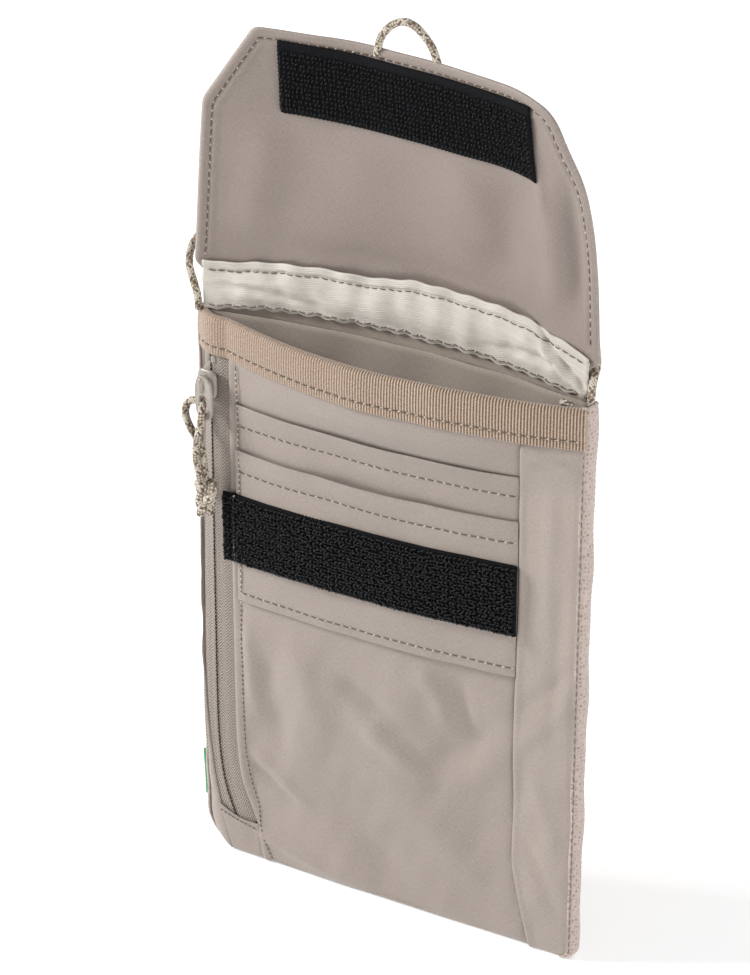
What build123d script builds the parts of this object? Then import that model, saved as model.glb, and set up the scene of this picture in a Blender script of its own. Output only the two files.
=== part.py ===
from build123d import *
import os
from dataclasses import dataclass
from math import sqrt, tan, radians, pi

# Neck pouch wallet, standing upright with its flap open.
#
# Millimetres. +Z is up, the front faces -Y and +X is to the right seen from the front.
# The origin is at the middle of the pouch's footprint, on the surface it stands on.
# Fabric layers are thin solids, stacked in Y from the plane of the side seams.

os.makedirs("parts", exist_ok=True)

# Body
HALF_W = 60.0           # side seams at x = -60 and 60
BODY_H = 168.0          # bottom edge to the mouth
SEAM_Y = -3.2           # front face of the pouch at its side seams
CORNER_R = 11.0         # rounded lower corner under the zip
CORNER_SMALL_R = 3.0    # the other lower corner

# Layers, each from its front face to its back face, as depths behind the front face at the
# side seams. A negative depth is further forward.
PANEL = (0.0, 0.7)
PANEL_RIGHT = (-0.45, 0.7)
FACING = (-0.9, -0.1)
REAR_CARDS = (-0.85, -0.1)
FRONT_CARDS = (-1.7, -0.95)
LOOP_TAPE = (-3.15, -1.75)
BINDING_OUT = -1.3
BINDING_CORE = (-0.5, 1.5)      # what the folded binding holds
BINDING_IN = 2.0
ZIP_TAPE = (0.05, 0.6)
ZIP_CHAIN = (0.65, 1.4)
ZIP_LINING = (0.9, 1.4)
ZIP_LINING_DEEP = (2.4, 2.7)    # stepped back behind the slider
SEAM = (1.5, 3.35)
DIVIDER_CLOTH = (2.85, 3.3)
BAND = (2.7, 3.6)
BACK_LINING = (3.45, 3.85)
BACK_MESH = (3.95, 5.9)
FLAP_CLOTH = (0.0, 0.55)        # both of these behind the flap's own surface
FLAP_LINING = (-0.6, -0.05)
HOOK_TAPE = (-2.05, -0.65)

# Card pockets on the front, between the zip and the right seam
CARD_LEFT = -45.4
CARD_RIGHT = 40.9
CARD_BOTTOM = 84.8      # folded lower edge of the pocket unit
REAR_SLOT_Z = 144.5
FRONT_SLOT_Z = 131.0
HOOK_TAPE_H = 20.5      # height of both hook-and-loop strips
LOOP_TAPE_TOP = 117.3
HOOK_TAPE_HALF = 37.5

# Binding round the mouth's front edge
BINDING_H = 11.2
BINDING_TOP = BODY_H + 0.5
BINDING_LOW = BINDING_TOP - BINDING_H
WRAP_X = -47.5          # left of this the binding and the linings run flat to the side seam

# Zip along the left edge, turning in at the bottom
ZIP_X = -54.0
ZIP_TOP = 167.7
ZIP_TURN_Z = 32.0
ZIP_TURN_R = 28.0
ZIP_TURN_DEG = 32.0
ZIP_TAPE_RIGHT = 6.3
ZIP_TAPE_LEFT = 4.6
CHAIN_GAP = 0.35        # from the zip's centre line to each tape's edge
CHAIN_W = 1.5
CHAIN_TOP = 154.0
STOP_H = 2.2
SLIDER_Z = 148.5        # the zip is closed, so the slider is at its top
SLIDER_W = 7.0
SLIDER_H = 9.0
CROWN_OUT = -4.7        # front of the small bridge that the tab hangs from
CROWN_HALF = 0.6
HOLE_Z = SLIDER_Z - 7.2 # the tab's hole, where the pull cord goes through
HOLE_R = 1.6
KNOT_R = 3.1
KNOT_H = 10.0

# Flap
FLAP_STAND = 4.9        # its side edges stand this far behind the front face at the seams
FLAP_LEAN = 4.1         # how far the flap leans forward over its height
FLAP_SAG = 9.5          # how far its middle stands behind its side edges
FOLD_Z = BODY_H + 0.6   # first fold, along the back panel's top edge
SECOND_FOLD_Z = 180.35  # second fold, along the mouth's front edge when closed
FLAP_TIP_Z = 250.0
FLAP_SHOULDER_Z = 226.0
FLAP_TIP_HALF = 41.0
FLAP_SHOULDER_HALF = 56.5
FLAP_BASE_HALF = 59.8
FLAP_NOTCH_HALF = 57.2  # narrower at the very base, beside the neck cord
FOLD_GAP = 0.15         # half the gap between the flap's parts at its second fold

# Cords
CORD_D = 2.2
HANK_L = 58.0
HANK_W = 20.0
HANK_H = 5.0
HANK_Y = 24.0
TIE_W = 7.0
TIE_T = 0.6
HANK_END = HANK_L / 2


@dataclass
class Wall:
    """A bulging sheet: at each height an arc through its two ends, sag deep in the middle."""
    centre: float
    half: float
    out: int            # -1 bulges to the front, 1 to the back
    rows: list          # (height, y at the ends, sag)

    def row(self, z):
        """The end's y and the sag at height z, in a straight line between the rows."""
        for (z0, y0, s0), (z1, y1, s1) in zip(self.rows, self.rows[1:]):
            if z <= z1:
                t = (z - z0) / (z1 - z0)
                return y0 + t * (y1 - y0), s0 + t * (s1 - s0)
        return self.rows[-1][1:]

    def y(self, x, z):
        end_y, sag = self.row(z)
        r = (self.half ** 2 + sag ** 2) / (2 * sag)
        return end_y + self.out * (sqrt(r ** 2 - (x - self.centre) ** 2) - (r - sag))


FRONT = Wall(6.25, 53.75, -1, [
    (0, SEAM_Y, 1.0), (55, SEAM_Y, 2.0), (105, SEAM_Y, 4.0),
    (155, SEAM_Y, 9.5), (BINDING_TOP, SEAM_Y, 9.5)])
DIVIDER = Wall(0, HALF_W, 1, [
    (0, SEAM_Y, 0.3), (55, SEAM_Y, 1.2), (105, SEAM_Y, 3.5),
    (155, SEAM_Y, 6.3), (190, SEAM_Y, 6.5)])
BACK = Wall(0, HALF_W, 1, [
    (0, SEAM_Y, 0.6), (55, SEAM_Y, 2.0), (105, SEAM_Y, 5.0),
    (155, SEAM_Y, 9.0), (BODY_H, SEAM_Y, FLAP_SAG)])
FLAP = Wall(0, HALF_W, 1, [
    (BODY_H, SEAM_Y + FLAP_STAND, FLAP_SAG),
    (FLAP_TIP_Z, SEAM_Y + FLAP_STAND - FLAP_LEAN, FLAP_SAG - 0.5)])


def sheet(wall, x0, x1, z0, z1, layer_depths):
    """A layer of a wall from x0 to x1 and z0 to z1, at depths behind the wall's surface."""
    front, back = layer_depths
    heights = [z0] + [row[0] for row in wall.rows if z0 < row[0] < z1] + [z1]
    with BuildPart() as layer:
        for z in heights:
            near = [(x, wall.y(x, z) + front) for x in (x0, (x0 + x1) / 2, x1)]
            far = [(x, y + back - front) for x, y in near]
            with BuildSketch(Plane.XY.offset(z)):
                with BuildLine():
                    ThreePointArc(*near)
                    Line(near[2], far[2])
                    ThreePointArc(*far)
                    Line(far[0], near[0])
                make_face()
        loft(ruled=True)
    return layer.part


def block(x0, x1, z0, z1, depths):
    """A plain box, at depths behind the front face at the side seams."""
    y0, y1 = depths
    with BuildPart() as solid:
        with BuildSketch(Plane.XY.offset(z0)):
            with Locations(((x0 + x1) / 2, SEAM_Y + (y0 + y1) / 2)):
                Rectangle(x1 - x0, y1 - y0)
        extrude(amount=z1 - z0)
    return solid.part


def zip_strip(a, b, depths, top, turn=ZIP_TURN_DEG):
    """A strip from a to b right of the zip's centre line, which turns in at the bottom."""
    y0, y1 = depths
    centre = (ZIP_X + ZIP_TURN_R, ZIP_TURN_Z)
    with BuildPart() as strip:
        with BuildSketch(Plane.XZ.offset(-(SEAM_Y + y1))):
            with BuildLine():
                outer = CenterArc(centre, ZIP_TURN_R - a, 180, turn)
                inner = CenterArc(centre, ZIP_TURN_R - b, 180, turn)
                Line(outer @ 1, inner @ 1)
                Polyline(outer @ 0, (ZIP_X + a, top), (ZIP_X + b, top), inner @ 0)
            make_face()
        extrude(amount=y1 - y0)
    return strip.part


def bend_radii(points):
    """For each corner of a route, the largest arc that its two straight runs allow."""
    corners = [Vector(*p) for p in points]
    radii = []
    for before, at, after in zip(corners, corners[1:], corners[2:]):
        turn = (at - before).get_angle(after - at)
        run = min((at - before).length, (after - at).length)
        radii.append(0.45 * run / tan(radians(turn / 2)))
    return radii


def cord_tube(name, points):
    """A cord's tube along straight runs joined by tangent arcs."""
    radii = bend_radii(points)
    with BuildPart() as tube:
        with BuildLine() as route:
            FilletPolyline(*points, radius=radii)
        with BuildSketch(Plane(origin=points[0], z_dir=route.line % 0)):
            Circle(CORD_D / 2)
        sweep()
    length = route.wire().length
    drawn = tube.part.volume / (pi * CORD_D ** 2 / 4 * length)
    print(f"{name}: {length:.1f} mm, volume {drawn:.3f} of section x length, radii",
          [round(r, 1) for r in radii])
    return tube.part


def save(builder, name):
    builder.part.label = name
    export_step(builder.part, f"parts/{name}.step")


# The body's outline seen from the front, which rounds the lower corners of every layer.
with BuildPart() as outline:
    with BuildSketch(Plane.XZ.offset(-40)) as silhouette:
        with Locations((0, 150)):
            Rectangle(2 * HALF_W + 2, 300)
        low = silhouette.vertices().group_by(Axis.Y)[0].sort_by(Axis.X)
        fillet(low[0], CORNER_R)
        fillet(low[-1], CORNER_SMALL_R)
    extrude(amount=80)

# --- Front ---------------------------------------------------------------------------

with BuildPart() as front_panel:
    add(sheet(FRONT, -58.7, CARD_RIGHT + 0.1, 0, ZIP_TOP, PANEL))
    add(zip_strip(-7.5, ZIP_TAPE_RIGHT + 0.3, (-4, 9), 170, ZIP_TURN_DEG + 1), mode=Mode.SUBTRACT)
    add(outline.part, mode=Mode.INTERSECT)
save(front_panel, "front_panel")

with BuildPart() as side_panel_right:
    add(sheet(FRONT, CARD_RIGHT + 0.3, HALF_W, 0, ZIP_TOP, PANEL_RIGHT))
    add(outline.part, mode=Mode.INTERSECT)
save(side_panel_right, "side_panel_right")

# The left side is turned back round the seam, which it holds in its fold.
with BuildPart() as side_panel_left:
    add(block(-60.4, -58.9, 0, ZIP_TOP, (-0.2, 3.7)))
    fillet(side_panel_left.edges().filter_by(Axis.Z).sort_by(Axis.X)[0:2].sort_by(Axis.Y)[0], 1.0)
    add(block(-HALF_W, -57, 0, BODY_H, (1.4, 4)), mode=Mode.SUBTRACT)
    add(outline.part, mode=Mode.INTERSECT)
save(side_panel_left, "side_panel_left")

with BuildPart() as zip_facing:
    add(sheet(FRONT, ZIP_X + 6.6, CARD_LEFT - 0.2, 34, BINDING_LOW - 0.8, FACING))
save(zip_facing, "zip_facing")

with BuildPart() as card_pocket_rear:
    add(sheet(FRONT, CARD_LEFT, CARD_RIGHT, CARD_BOTTOM + 0.4, REAR_SLOT_Z, REAR_CARDS))
save(card_pocket_rear, "card_pocket_rear")

with BuildPart() as card_pocket_front:
    add(sheet(FRONT, CARD_LEFT, CARD_RIGHT, CARD_BOTTOM, FRONT_SLOT_Z, FRONT_CARDS))
save(card_pocket_front, "card_pocket_front")

with BuildPart() as loop_strip:
    add(sheet(FRONT, CARD_LEFT - 4, CARD_RIGHT, LOOP_TAPE_TOP - HOOK_TAPE_H, LOOP_TAPE_TOP,
              LOOP_TAPE))
save(loop_strip, "loop_strip")

# The binding is a tape folded over the mouth's front edge. Its left end wraps round the seam.
SLOT_TOP = BINDING_TOP - 0.6
with BuildPart() as front_binding:
    add(sheet(FRONT, WRAP_X, HALF_W, BINDING_LOW, BINDING_TOP, (BINDING_OUT, BINDING_IN)))
    add(block(-61.1, WRAP_X, BINDING_LOW, BINDING_TOP, (BINDING_OUT, BINDING_IN)))
    fillet(front_binding.edges().filter_by(Axis.Z).sort_by(Axis.X)[0:2].sort_by(Axis.Y)[0], 0.8)
    add(block(-61.1, -60.5, BINDING_LOW, BINDING_TOP, (0.5, 3.8)))
    add(sheet(FRONT, WRAP_X, HALF_W + 1, BINDING_LOW - 1, SLOT_TOP, BINDING_CORE),
        mode=Mode.SUBTRACT)
    add(block(-60.5, WRAP_X + 0.1, BINDING_LOW - 1, SLOT_TOP, BINDING_CORE), mode=Mode.SUBTRACT)
    add(block(-60.5, -59.9, BINDING_LOW - 1, SLOT_TOP, (1.4, 2.1)), mode=Mode.SUBTRACT)
save(front_binding, "front_binding")

# --- Zip -----------------------------------------------------------------------------

with BuildPart() as zip_tape_right:
    add(zip_strip(CHAIN_GAP, ZIP_TAPE_RIGHT, ZIP_TAPE, ZIP_TOP))
save(zip_tape_right, "zip_tape_right")

with BuildPart() as zip_tape_left:
    add(zip_strip(-ZIP_TAPE_LEFT, -CHAIN_GAP, ZIP_TAPE, ZIP_TOP))
save(zip_tape_left, "zip_tape_left")

with BuildPart() as zip_chain_right:
    add(zip_strip(CHAIN_GAP, CHAIN_W, ZIP_CHAIN, CHAIN_TOP))
save(zip_chain_right, "zip_chain_right")

with BuildPart() as zip_chain_left:
    add(zip_strip(-CHAIN_W, -CHAIN_GAP, ZIP_CHAIN, CHAIN_TOP))
save(zip_chain_left, "zip_chain_left")

with BuildPart() as zip_top_stop:
    for x0 in (ZIP_X - CHAIN_GAP - CHAIN_W, ZIP_X + CHAIN_GAP):
        add(block(x0, x0 + CHAIN_W, CHAIN_TOP + 0.1, CHAIN_TOP + 0.1 + STOP_H, (0.62, 1.45)))
save(zip_top_stop, "zip_top_stop")

with BuildPart() as slider_body:
    with BuildSketch(Plane.XZ.offset(-(SEAM_Y - 0.25))):
        with Locations((ZIP_X, SLIDER_Z)):
            RectangleRounded(SLIDER_W, SLIDER_H, 1.8)
    extrude(amount=1.0)
    with BuildSketch(Plane.XZ.offset(-(SEAM_Y + 2.3))):
        with Locations((ZIP_X, SLIDER_Z)):
            RectangleRounded(SLIDER_W - 0.6, SLIDER_H - 0.4, 1.6)
    extrude(amount=0.65)
    # The neck joins the two plates between the tapes.
    add(block(ZIP_X - 0.16, ZIP_X + 0.16, SLIDER_Z + 0.5, SLIDER_Z + 4.0, (-0.3, 1.7)))
    # The crown is a small bridge with two feet on the front plate.
    for foot_z in (SLIDER_Z + 1.8, SLIDER_Z - 1.6):
        add(block(ZIP_X - CROWN_HALF, ZIP_X + CROWN_HALF, foot_z, foot_z + 1.0, (CROWN_OUT, -1.2)))
    add(block(ZIP_X - CROWN_HALF, ZIP_X + CROWN_HALF, SLIDER_Z - 1.6, SLIDER_Z + 2.8,
              (CROWN_OUT, CROWN_OUT + 0.55)))
save(slider_body, "slider_body")

with BuildPart() as slider_tab:
    with BuildSketch(Plane.XZ.offset(-(SEAM_Y - 3.1))):
        with Locations((ZIP_X, SLIDER_Z - 4.05)):
            RectangleRounded(5.2, 11.1, 1.2)
        with Locations((ZIP_X, SLIDER_Z - 1.12)):
            Rectangle(1.7, 1.75, mode=Mode.SUBTRACT)
        with Locations((ZIP_X, HOLE_Z)):
            Circle(HOLE_R, mode=Mode.SUBTRACT)
    extrude(amount=0.8)
save(slider_tab, "slider_tab")

pull_route = [
    (ZIP_X, SEAM_Y - 4.9, 118.5), (ZIP_X, SEAM_Y - 5.35, 129), (ZIP_X, SEAM_Y - 5.35, HOLE_Z),
    (ZIP_X, SEAM_Y - 1.65, HOLE_Z), (ZIP_X, SEAM_Y - 1.65, 129), (ZIP_X, SEAM_Y - 2.45, 118.5)]
with BuildPart() as pull_cord:
    add(cord_tube("pull_cord", pull_route))
save(pull_cord, "pull_cord")

with BuildPart() as pull_knot:
    with Locations((ZIP_X, SEAM_Y - 3.7, 115.5)):
        Cylinder(KNOT_R, KNOT_H)
    fillet(pull_knot.edges().filter_by(GeomType.CIRCLE), 2.6)
save(pull_knot, "pull_knot")

# --- Inside --------------------------------------------------------------------------

# The wall behind the zip pocket steps back to leave room for the slider's rear plate.
with BuildPart() as zip_pocket_lining:
    add(sheet(FRONT, WRAP_X, 57.3, 0, ZIP_TOP, ZIP_LINING))
    add(block(WRAP_X - 0.1, WRAP_X + 0.2, 14, BINDING_LOW - 0.5, (0.95, 2.7)))
    add(block(-57.3, WRAP_X + 0.2, 14, BINDING_LOW - 0.5, ZIP_LINING_DEEP))
    add(outline.part, mode=Mode.INTERSECT)
save(zip_pocket_lining, "zip_pocket_lining")

with BuildPart() as divider:
    add(sheet(DIVIDER, -57.3, 57.3, 2.8, BODY_H - 0.2, DIVIDER_CLOTH))
    add(outline.part, mode=Mode.INTERSECT)
save(divider, "divider")

# The divider's webbing edge stands above the mouth and is pressed down by the closed flap.
with BuildPart() as divider_band:
    add(sheet(DIVIDER, -56.8, 56.8, BODY_H, BODY_H + 15, BAND))
save(divider_band, "divider_band")

with BuildPart() as back_lining:
    add(sheet(BACK, -HALF_W, HALF_W, 0, BODY_H, BACK_LINING))
    add(outline.part, mode=Mode.INTERSECT)
save(back_lining, "back_lining")

# --- Back and seams ------------------------------------------------------------------

with BuildPart() as back_panel:
    add(sheet(BACK, -60.2, 60.2, 0, BODY_H, BACK_MESH))
    add(outline.part, mode=Mode.INTERSECT)
save(back_panel, "back_panel")

# Above the binding's lower edge its inner leaf lies in front of the side seams.
for name, x0 in (("side_seam_left", -HALF_W), ("side_seam_right", HALF_W - 2.5)):
    with BuildPart() as side_seam:
        add(block(x0, x0 + 2.5, 0, BINDING_LOW - 0.5, SEAM))
        add(block(x0, x0 + 2.5, BINDING_LOW - 0.5, BODY_H, (2.1, SEAM[1])))
        add(outline.part, mode=Mode.INTERSECT)
    save(side_seam, name)

with BuildPart() as bottom_seam:
    add(block(-57.4, 57.4, 0, 2.6, SEAM))
    add(outline.part, mode=Mode.INTERSECT)
save(bottom_seam, "bottom_seam")

with BuildPart() as side_label:
    add(block(-61.8, -60.45, 14.5, 29.0, (1.8, 2.6)))
save(side_label, "side_label")

# --- Flap ----------------------------------------------------------------------------


def half_outline(points):
    """A closed outline from the right half of a shape that is the same on both sides."""
    return points + [(-x, z) for x, z in reversed(points)]


bridge_outline = half_outline([
    (FLAP_NOTCH_HALF, FOLD_Z), (FLAP_NOTCH_HALF, SECOND_FOLD_Z - 1.5),
    (FLAP_BASE_HALF - 0.4, SECOND_FOLD_Z - 0.3), (FLAP_BASE_HALF - 0.4, SECOND_FOLD_Z)])
panel_outline = half_outline([
    (FLAP_BASE_HALF, SECOND_FOLD_Z), (FLAP_SHOULDER_HALF, FLAP_SHOULDER_Z),
    (FLAP_TIP_HALF, FLAP_TIP_Z)])


def flap_layer(points, z0, z1, depths):
    """One of the flap's two fabric layers, cut to an outline."""
    with BuildPart() as cloth:
        add(sheet(FLAP, -HALF_W, HALF_W, z0, z1, depths))
        with BuildSketch(Plane.XZ.offset(-40)):
            with BuildLine():
                Polyline(*points, close=True)
            make_face()
        extrude(amount=80, mode=Mode.INTERSECT)
    return cloth.part


BRIDGE_LOW = FOLD_Z + 0.2
BRIDGE_HIGH = SECOND_FOLD_Z - FOLD_GAP
PANEL_LOW = SECOND_FOLD_Z + FOLD_GAP
for name, points, z0, z1, depths in (
        ("flap_bridge", bridge_outline, BRIDGE_LOW, BRIDGE_HIGH, FLAP_CLOTH),
        ("flap_bridge_lining", bridge_outline, BRIDGE_LOW, BRIDGE_HIGH, FLAP_LINING),
        ("flap_outer", panel_outline, PANEL_LOW, FLAP_TIP_Z, FLAP_CLOTH),
        ("flap_lining", panel_outline, PANEL_LOW, FLAP_TIP_Z, FLAP_LINING)):
    with BuildPart() as layer:
        add(flap_layer(points, z0, z1, depths))
    save(layer, name)

HOOK_TAPE_LOW = FLAP_TIP_Z - 22
with BuildPart() as hook_strip:
    add(sheet(FLAP, -HOOK_TAPE_HALF, HOOK_TAPE_HALF, HOOK_TAPE_LOW, HOOK_TAPE_LOW + HOOK_TAPE_H,
              HOOK_TAPE))
save(hook_strip, "hook_strip")

loop_y = FLAP.y(3.4, FLAP_TIP_Z)
loop_route = [
    (-5.4, loop_y, 248.7), (-5.2, loop_y, 253), (-1.4, loop_y, 258.2), (4.4, loop_y, 259.4),
    (9.8, loop_y, 256.6), (12.2, loop_y, 252.2), (12.0, loop_y, 248.7)]
with BuildPart() as flap_pull_loop:
    add(cord_tube("flap_pull_loop", loop_route))
save(flap_pull_loop, "flap_pull_loop")

# --- Neck cord -----------------------------------------------------------------------

# Each end rises from the top of its side seam and passes behind the flap, the left one
# outside the flap's edge and the right one through the notch at the flap's base. Both fall
# behind the back panel to the surface, where the rest is folded into a tied hank.
left_route = [
    (-58.8, -0.1, BODY_H), (-58.8, -0.1, 171.6), (-60.2, 0.0, 175.6), (-62.4, 1.0, 179.8),
    (-63.5, 4.4, 184.2), (-62.9, 9.8, 186.6), (-59.4, 14.2, 185.4), (-55.8, 16.4, 180.6),
    (-52.6, 17.0, 171.8), (-49.8, 16.8, 156), (-48.0, 16.2, 131), (-47.2, 14.6, 93),
    (-47.6, 13.4, 52), (-47.0, 14.2, 25), (-45.2, 16.2, 11.6), (-42.0, 19.0, 4.4),
    (-37.6, 21.6, 2.0), (-33.2, 23.0, 1.7), (-HANK_END, 23.0, 1.7)]
right_route = [
    (58.8, -0.1, BODY_H), (58.8, -0.1, 171.4), (59.0, 0.8, 174.8), (59.0, 3.4, 177.4),
    (58.4, 7.2, 178.2), (57.0, 11.0, 176.8), (55.4, 13.8, 173.2), (53.8, 15.6, 167.0),
    (51.8, 16.4, 156.0), (50.2, 16.4, 138), (49.4, 15.0, 101), (50.0, 13.6, 58),
    (49.6, 14.6, 29), (48.0, 16.8, 13.6), (44.6, 19.6, 5.2), (39.6, 23.0, 2.1),
    (34.4, 25.0, 1.7), (HANK_END, 25.0, 1.7)]
with BuildPart() as neck_cord_left:
    add(cord_tube("neck_cord_left", left_route))
save(neck_cord_left, "neck_cord_left")
with BuildPart() as neck_cord_right:
    add(cord_tube("neck_cord_right", right_route))
save(neck_cord_right, "neck_cord_right")

with BuildPart() as neck_cord_hank:
    with BuildSketch(Plane.XY.offset(TIE_T)):
        with Locations((0, HANK_Y)):
            SlotOverall(HANK_L, HANK_W)
    extrude(amount=HANK_H)
save(neck_cord_hank, "neck_cord_hank")

with BuildPart() as hank_tie:
    with BuildSketch(Plane.YZ.offset(-TIE_W / 2)):
        with Locations((HANK_Y, TIE_T + HANK_H / 2)):
            RectangleRounded(HANK_W + 2 * TIE_T, HANK_H + 2 * TIE_T, 0.9)
            Rectangle(HANK_W, HANK_H, mode=Mode.SUBTRACT)
    extrude(amount=TIE_W)
save(hank_tie, "hank_tie")
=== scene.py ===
from math import cos, hypot, pi, radians, sin, sqrt

import bmesh
import bpy
import numpy as np
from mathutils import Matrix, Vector


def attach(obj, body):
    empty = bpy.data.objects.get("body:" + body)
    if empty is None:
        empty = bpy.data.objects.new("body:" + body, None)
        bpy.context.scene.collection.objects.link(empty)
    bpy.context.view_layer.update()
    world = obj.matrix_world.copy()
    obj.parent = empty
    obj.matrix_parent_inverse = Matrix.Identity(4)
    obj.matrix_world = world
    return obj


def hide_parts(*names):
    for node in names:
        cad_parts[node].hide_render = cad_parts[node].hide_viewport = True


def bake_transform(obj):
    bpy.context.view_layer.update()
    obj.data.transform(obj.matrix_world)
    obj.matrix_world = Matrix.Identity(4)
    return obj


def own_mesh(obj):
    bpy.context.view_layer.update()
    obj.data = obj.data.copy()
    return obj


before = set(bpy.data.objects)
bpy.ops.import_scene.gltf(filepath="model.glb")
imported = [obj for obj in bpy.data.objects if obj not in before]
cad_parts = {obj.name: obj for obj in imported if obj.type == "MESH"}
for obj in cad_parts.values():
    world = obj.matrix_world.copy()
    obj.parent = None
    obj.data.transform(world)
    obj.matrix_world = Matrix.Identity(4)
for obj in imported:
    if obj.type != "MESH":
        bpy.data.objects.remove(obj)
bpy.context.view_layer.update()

# Neck pouch wallet. Shapes are worked out in millimetres and scaled when a mesh is made.
MM = 0.001

# The pouch, with the same driving dimensions as its frame
HALF_W = 60.0
BODY_H = 168.0
SEAM_Y = -3.2
CARD_LEFT = -45.4
CARD_RIGHT = 40.9
CARD_BOTTOM = 84.8
REAR_SLOT_Z = 144.5
FRONT_SLOT_Z = 131.0
TAPE_H = 20.5
LOOP_TOP = 117.3
BINDING_LOW = 157.3
ZIP_X = -54.0
FLAP_TIP_Z = 250.0
HOOK_LOW = 228.0
CORD_D = 2.2
OUT_FRONT = (0.0, -1.0, 0.0)    # the way the front faces

# Strands, ribs and rows, each followed by a shape and by its material or its stitches
BRAID_STRANDS = 8
BRAID_PITCH = 6.4
RIB_PITCH = 0.84
TWILL_PITCH = 0.95
TWILL_BAND = 1.7                # how wide the twill runs before it turns back
TWILL_LEAN = 1.2
PILE_PITCH = 1.15
ZIP_TOOTH = 1.25
STITCH = 2.6


# --- Camera and light

def add_camera():
    """The viewing angle: from the right and above, through a long lens."""
    azimuth, elevation = radians(30), radians(27.5)
    target, distance = Vector((-2.5, -3.2, 130)) * MM, 0.94018
    back = Vector((sin(azimuth) * cos(elevation), -cos(azimuth) * cos(elevation), sin(elevation)))
    data = bpy.data.cameras.new("camera")
    data.lens = 131.08
    data.sensor_fit = "VERTICAL"
    data.sensor_height = 36
    data.clip_end = 20
    camera = bpy.data.objects.new("camera", data)
    camera.location = target + back * distance
    camera.rotation_euler = (pi / 2 - elevation, 0, azimuth)
    bpy.context.scene.collection.objects.link(camera)
    bpy.context.scene.camera = camera


def add_area(name, where, aim, size, power):
    """A rectangular light at one point, aimed at another."""
    data = bpy.data.lights.new(name, "AREA")
    data.shape = "RECTANGLE"
    data.size, data.size_y = size
    data.energy = power
    light = bpy.data.objects.new(name, data)
    light.location = where
    light.rotation_euler = (Vector(aim) - Vector(where)).to_track_quat("-Z", "Y").to_euler()
    bpy.context.scene.collection.objects.link(light)


def add_stage():
    """A pale floor, a pale surrounding and soft studio lights."""
    bpy.ops.mesh.primitive_plane_add(size=8, location=(0, 0, 0))
    floor = bpy.context.object
    floor.name = "floor"
    s = Shader("floor", 0.95)
    s.out.inputs["Base Color"].default_value = (0.9, 0.9, 0.9, 1)
    s.out.inputs["Emission Color"].default_value = (1, 1, 1, 1)
    far = s.add("ShaderNodeVectorMath", {0: s.where()}, operation="LENGTH").outputs["Value"]
    # The floor glows a little more far away, so that it meets the surrounding without an edge.
    glow = s.add("ShaderNodeMapRange", {0: far, 1: 0.8, 2: 2.2, 3: 0.3, 4: 0.62}).outputs[0]
    s.tree.links.new(glow, s.out.inputs["Emission Strength"])
    floor.data.materials.append(s.material)
    world = bpy.data.worlds.new("surround")
    world.use_nodes = True
    tree = world.node_tree
    tree.nodes["Background"].inputs["Color"].default_value = (1, 1, 1, 1)
    seen = tree.nodes.new("ShaderNodeLightPath").outputs["Is Camera Ray"]
    strength = tree.nodes.new("ShaderNodeMath")
    strength.operation = "MULTIPLY_ADD"
    strength.inputs[1].default_value, strength.inputs[2].default_value = 0.58, 0.42
    tree.links.new(seen, strength.inputs[0])
    tree.links.new(strength.outputs[0], tree.nodes["Background"].inputs["Strength"])
    bpy.context.scene.world = world
    bpy.context.scene.view_settings.view_transform = "Standard"
    add_area("key", (-1.25, -0.55, 0.85), (0, 0, 0.12), (0.4, 0.4), 27)
    add_area("fill", (1.3, -0.5, 0.35), (0, 0, 0.12), (0.4, 0.7), 9)
    add_area("rim", (0.3, 1.1, 1.0), (0, 0, 0.15), (0.8, 0.5), 6)


# --- Node materials

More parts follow.
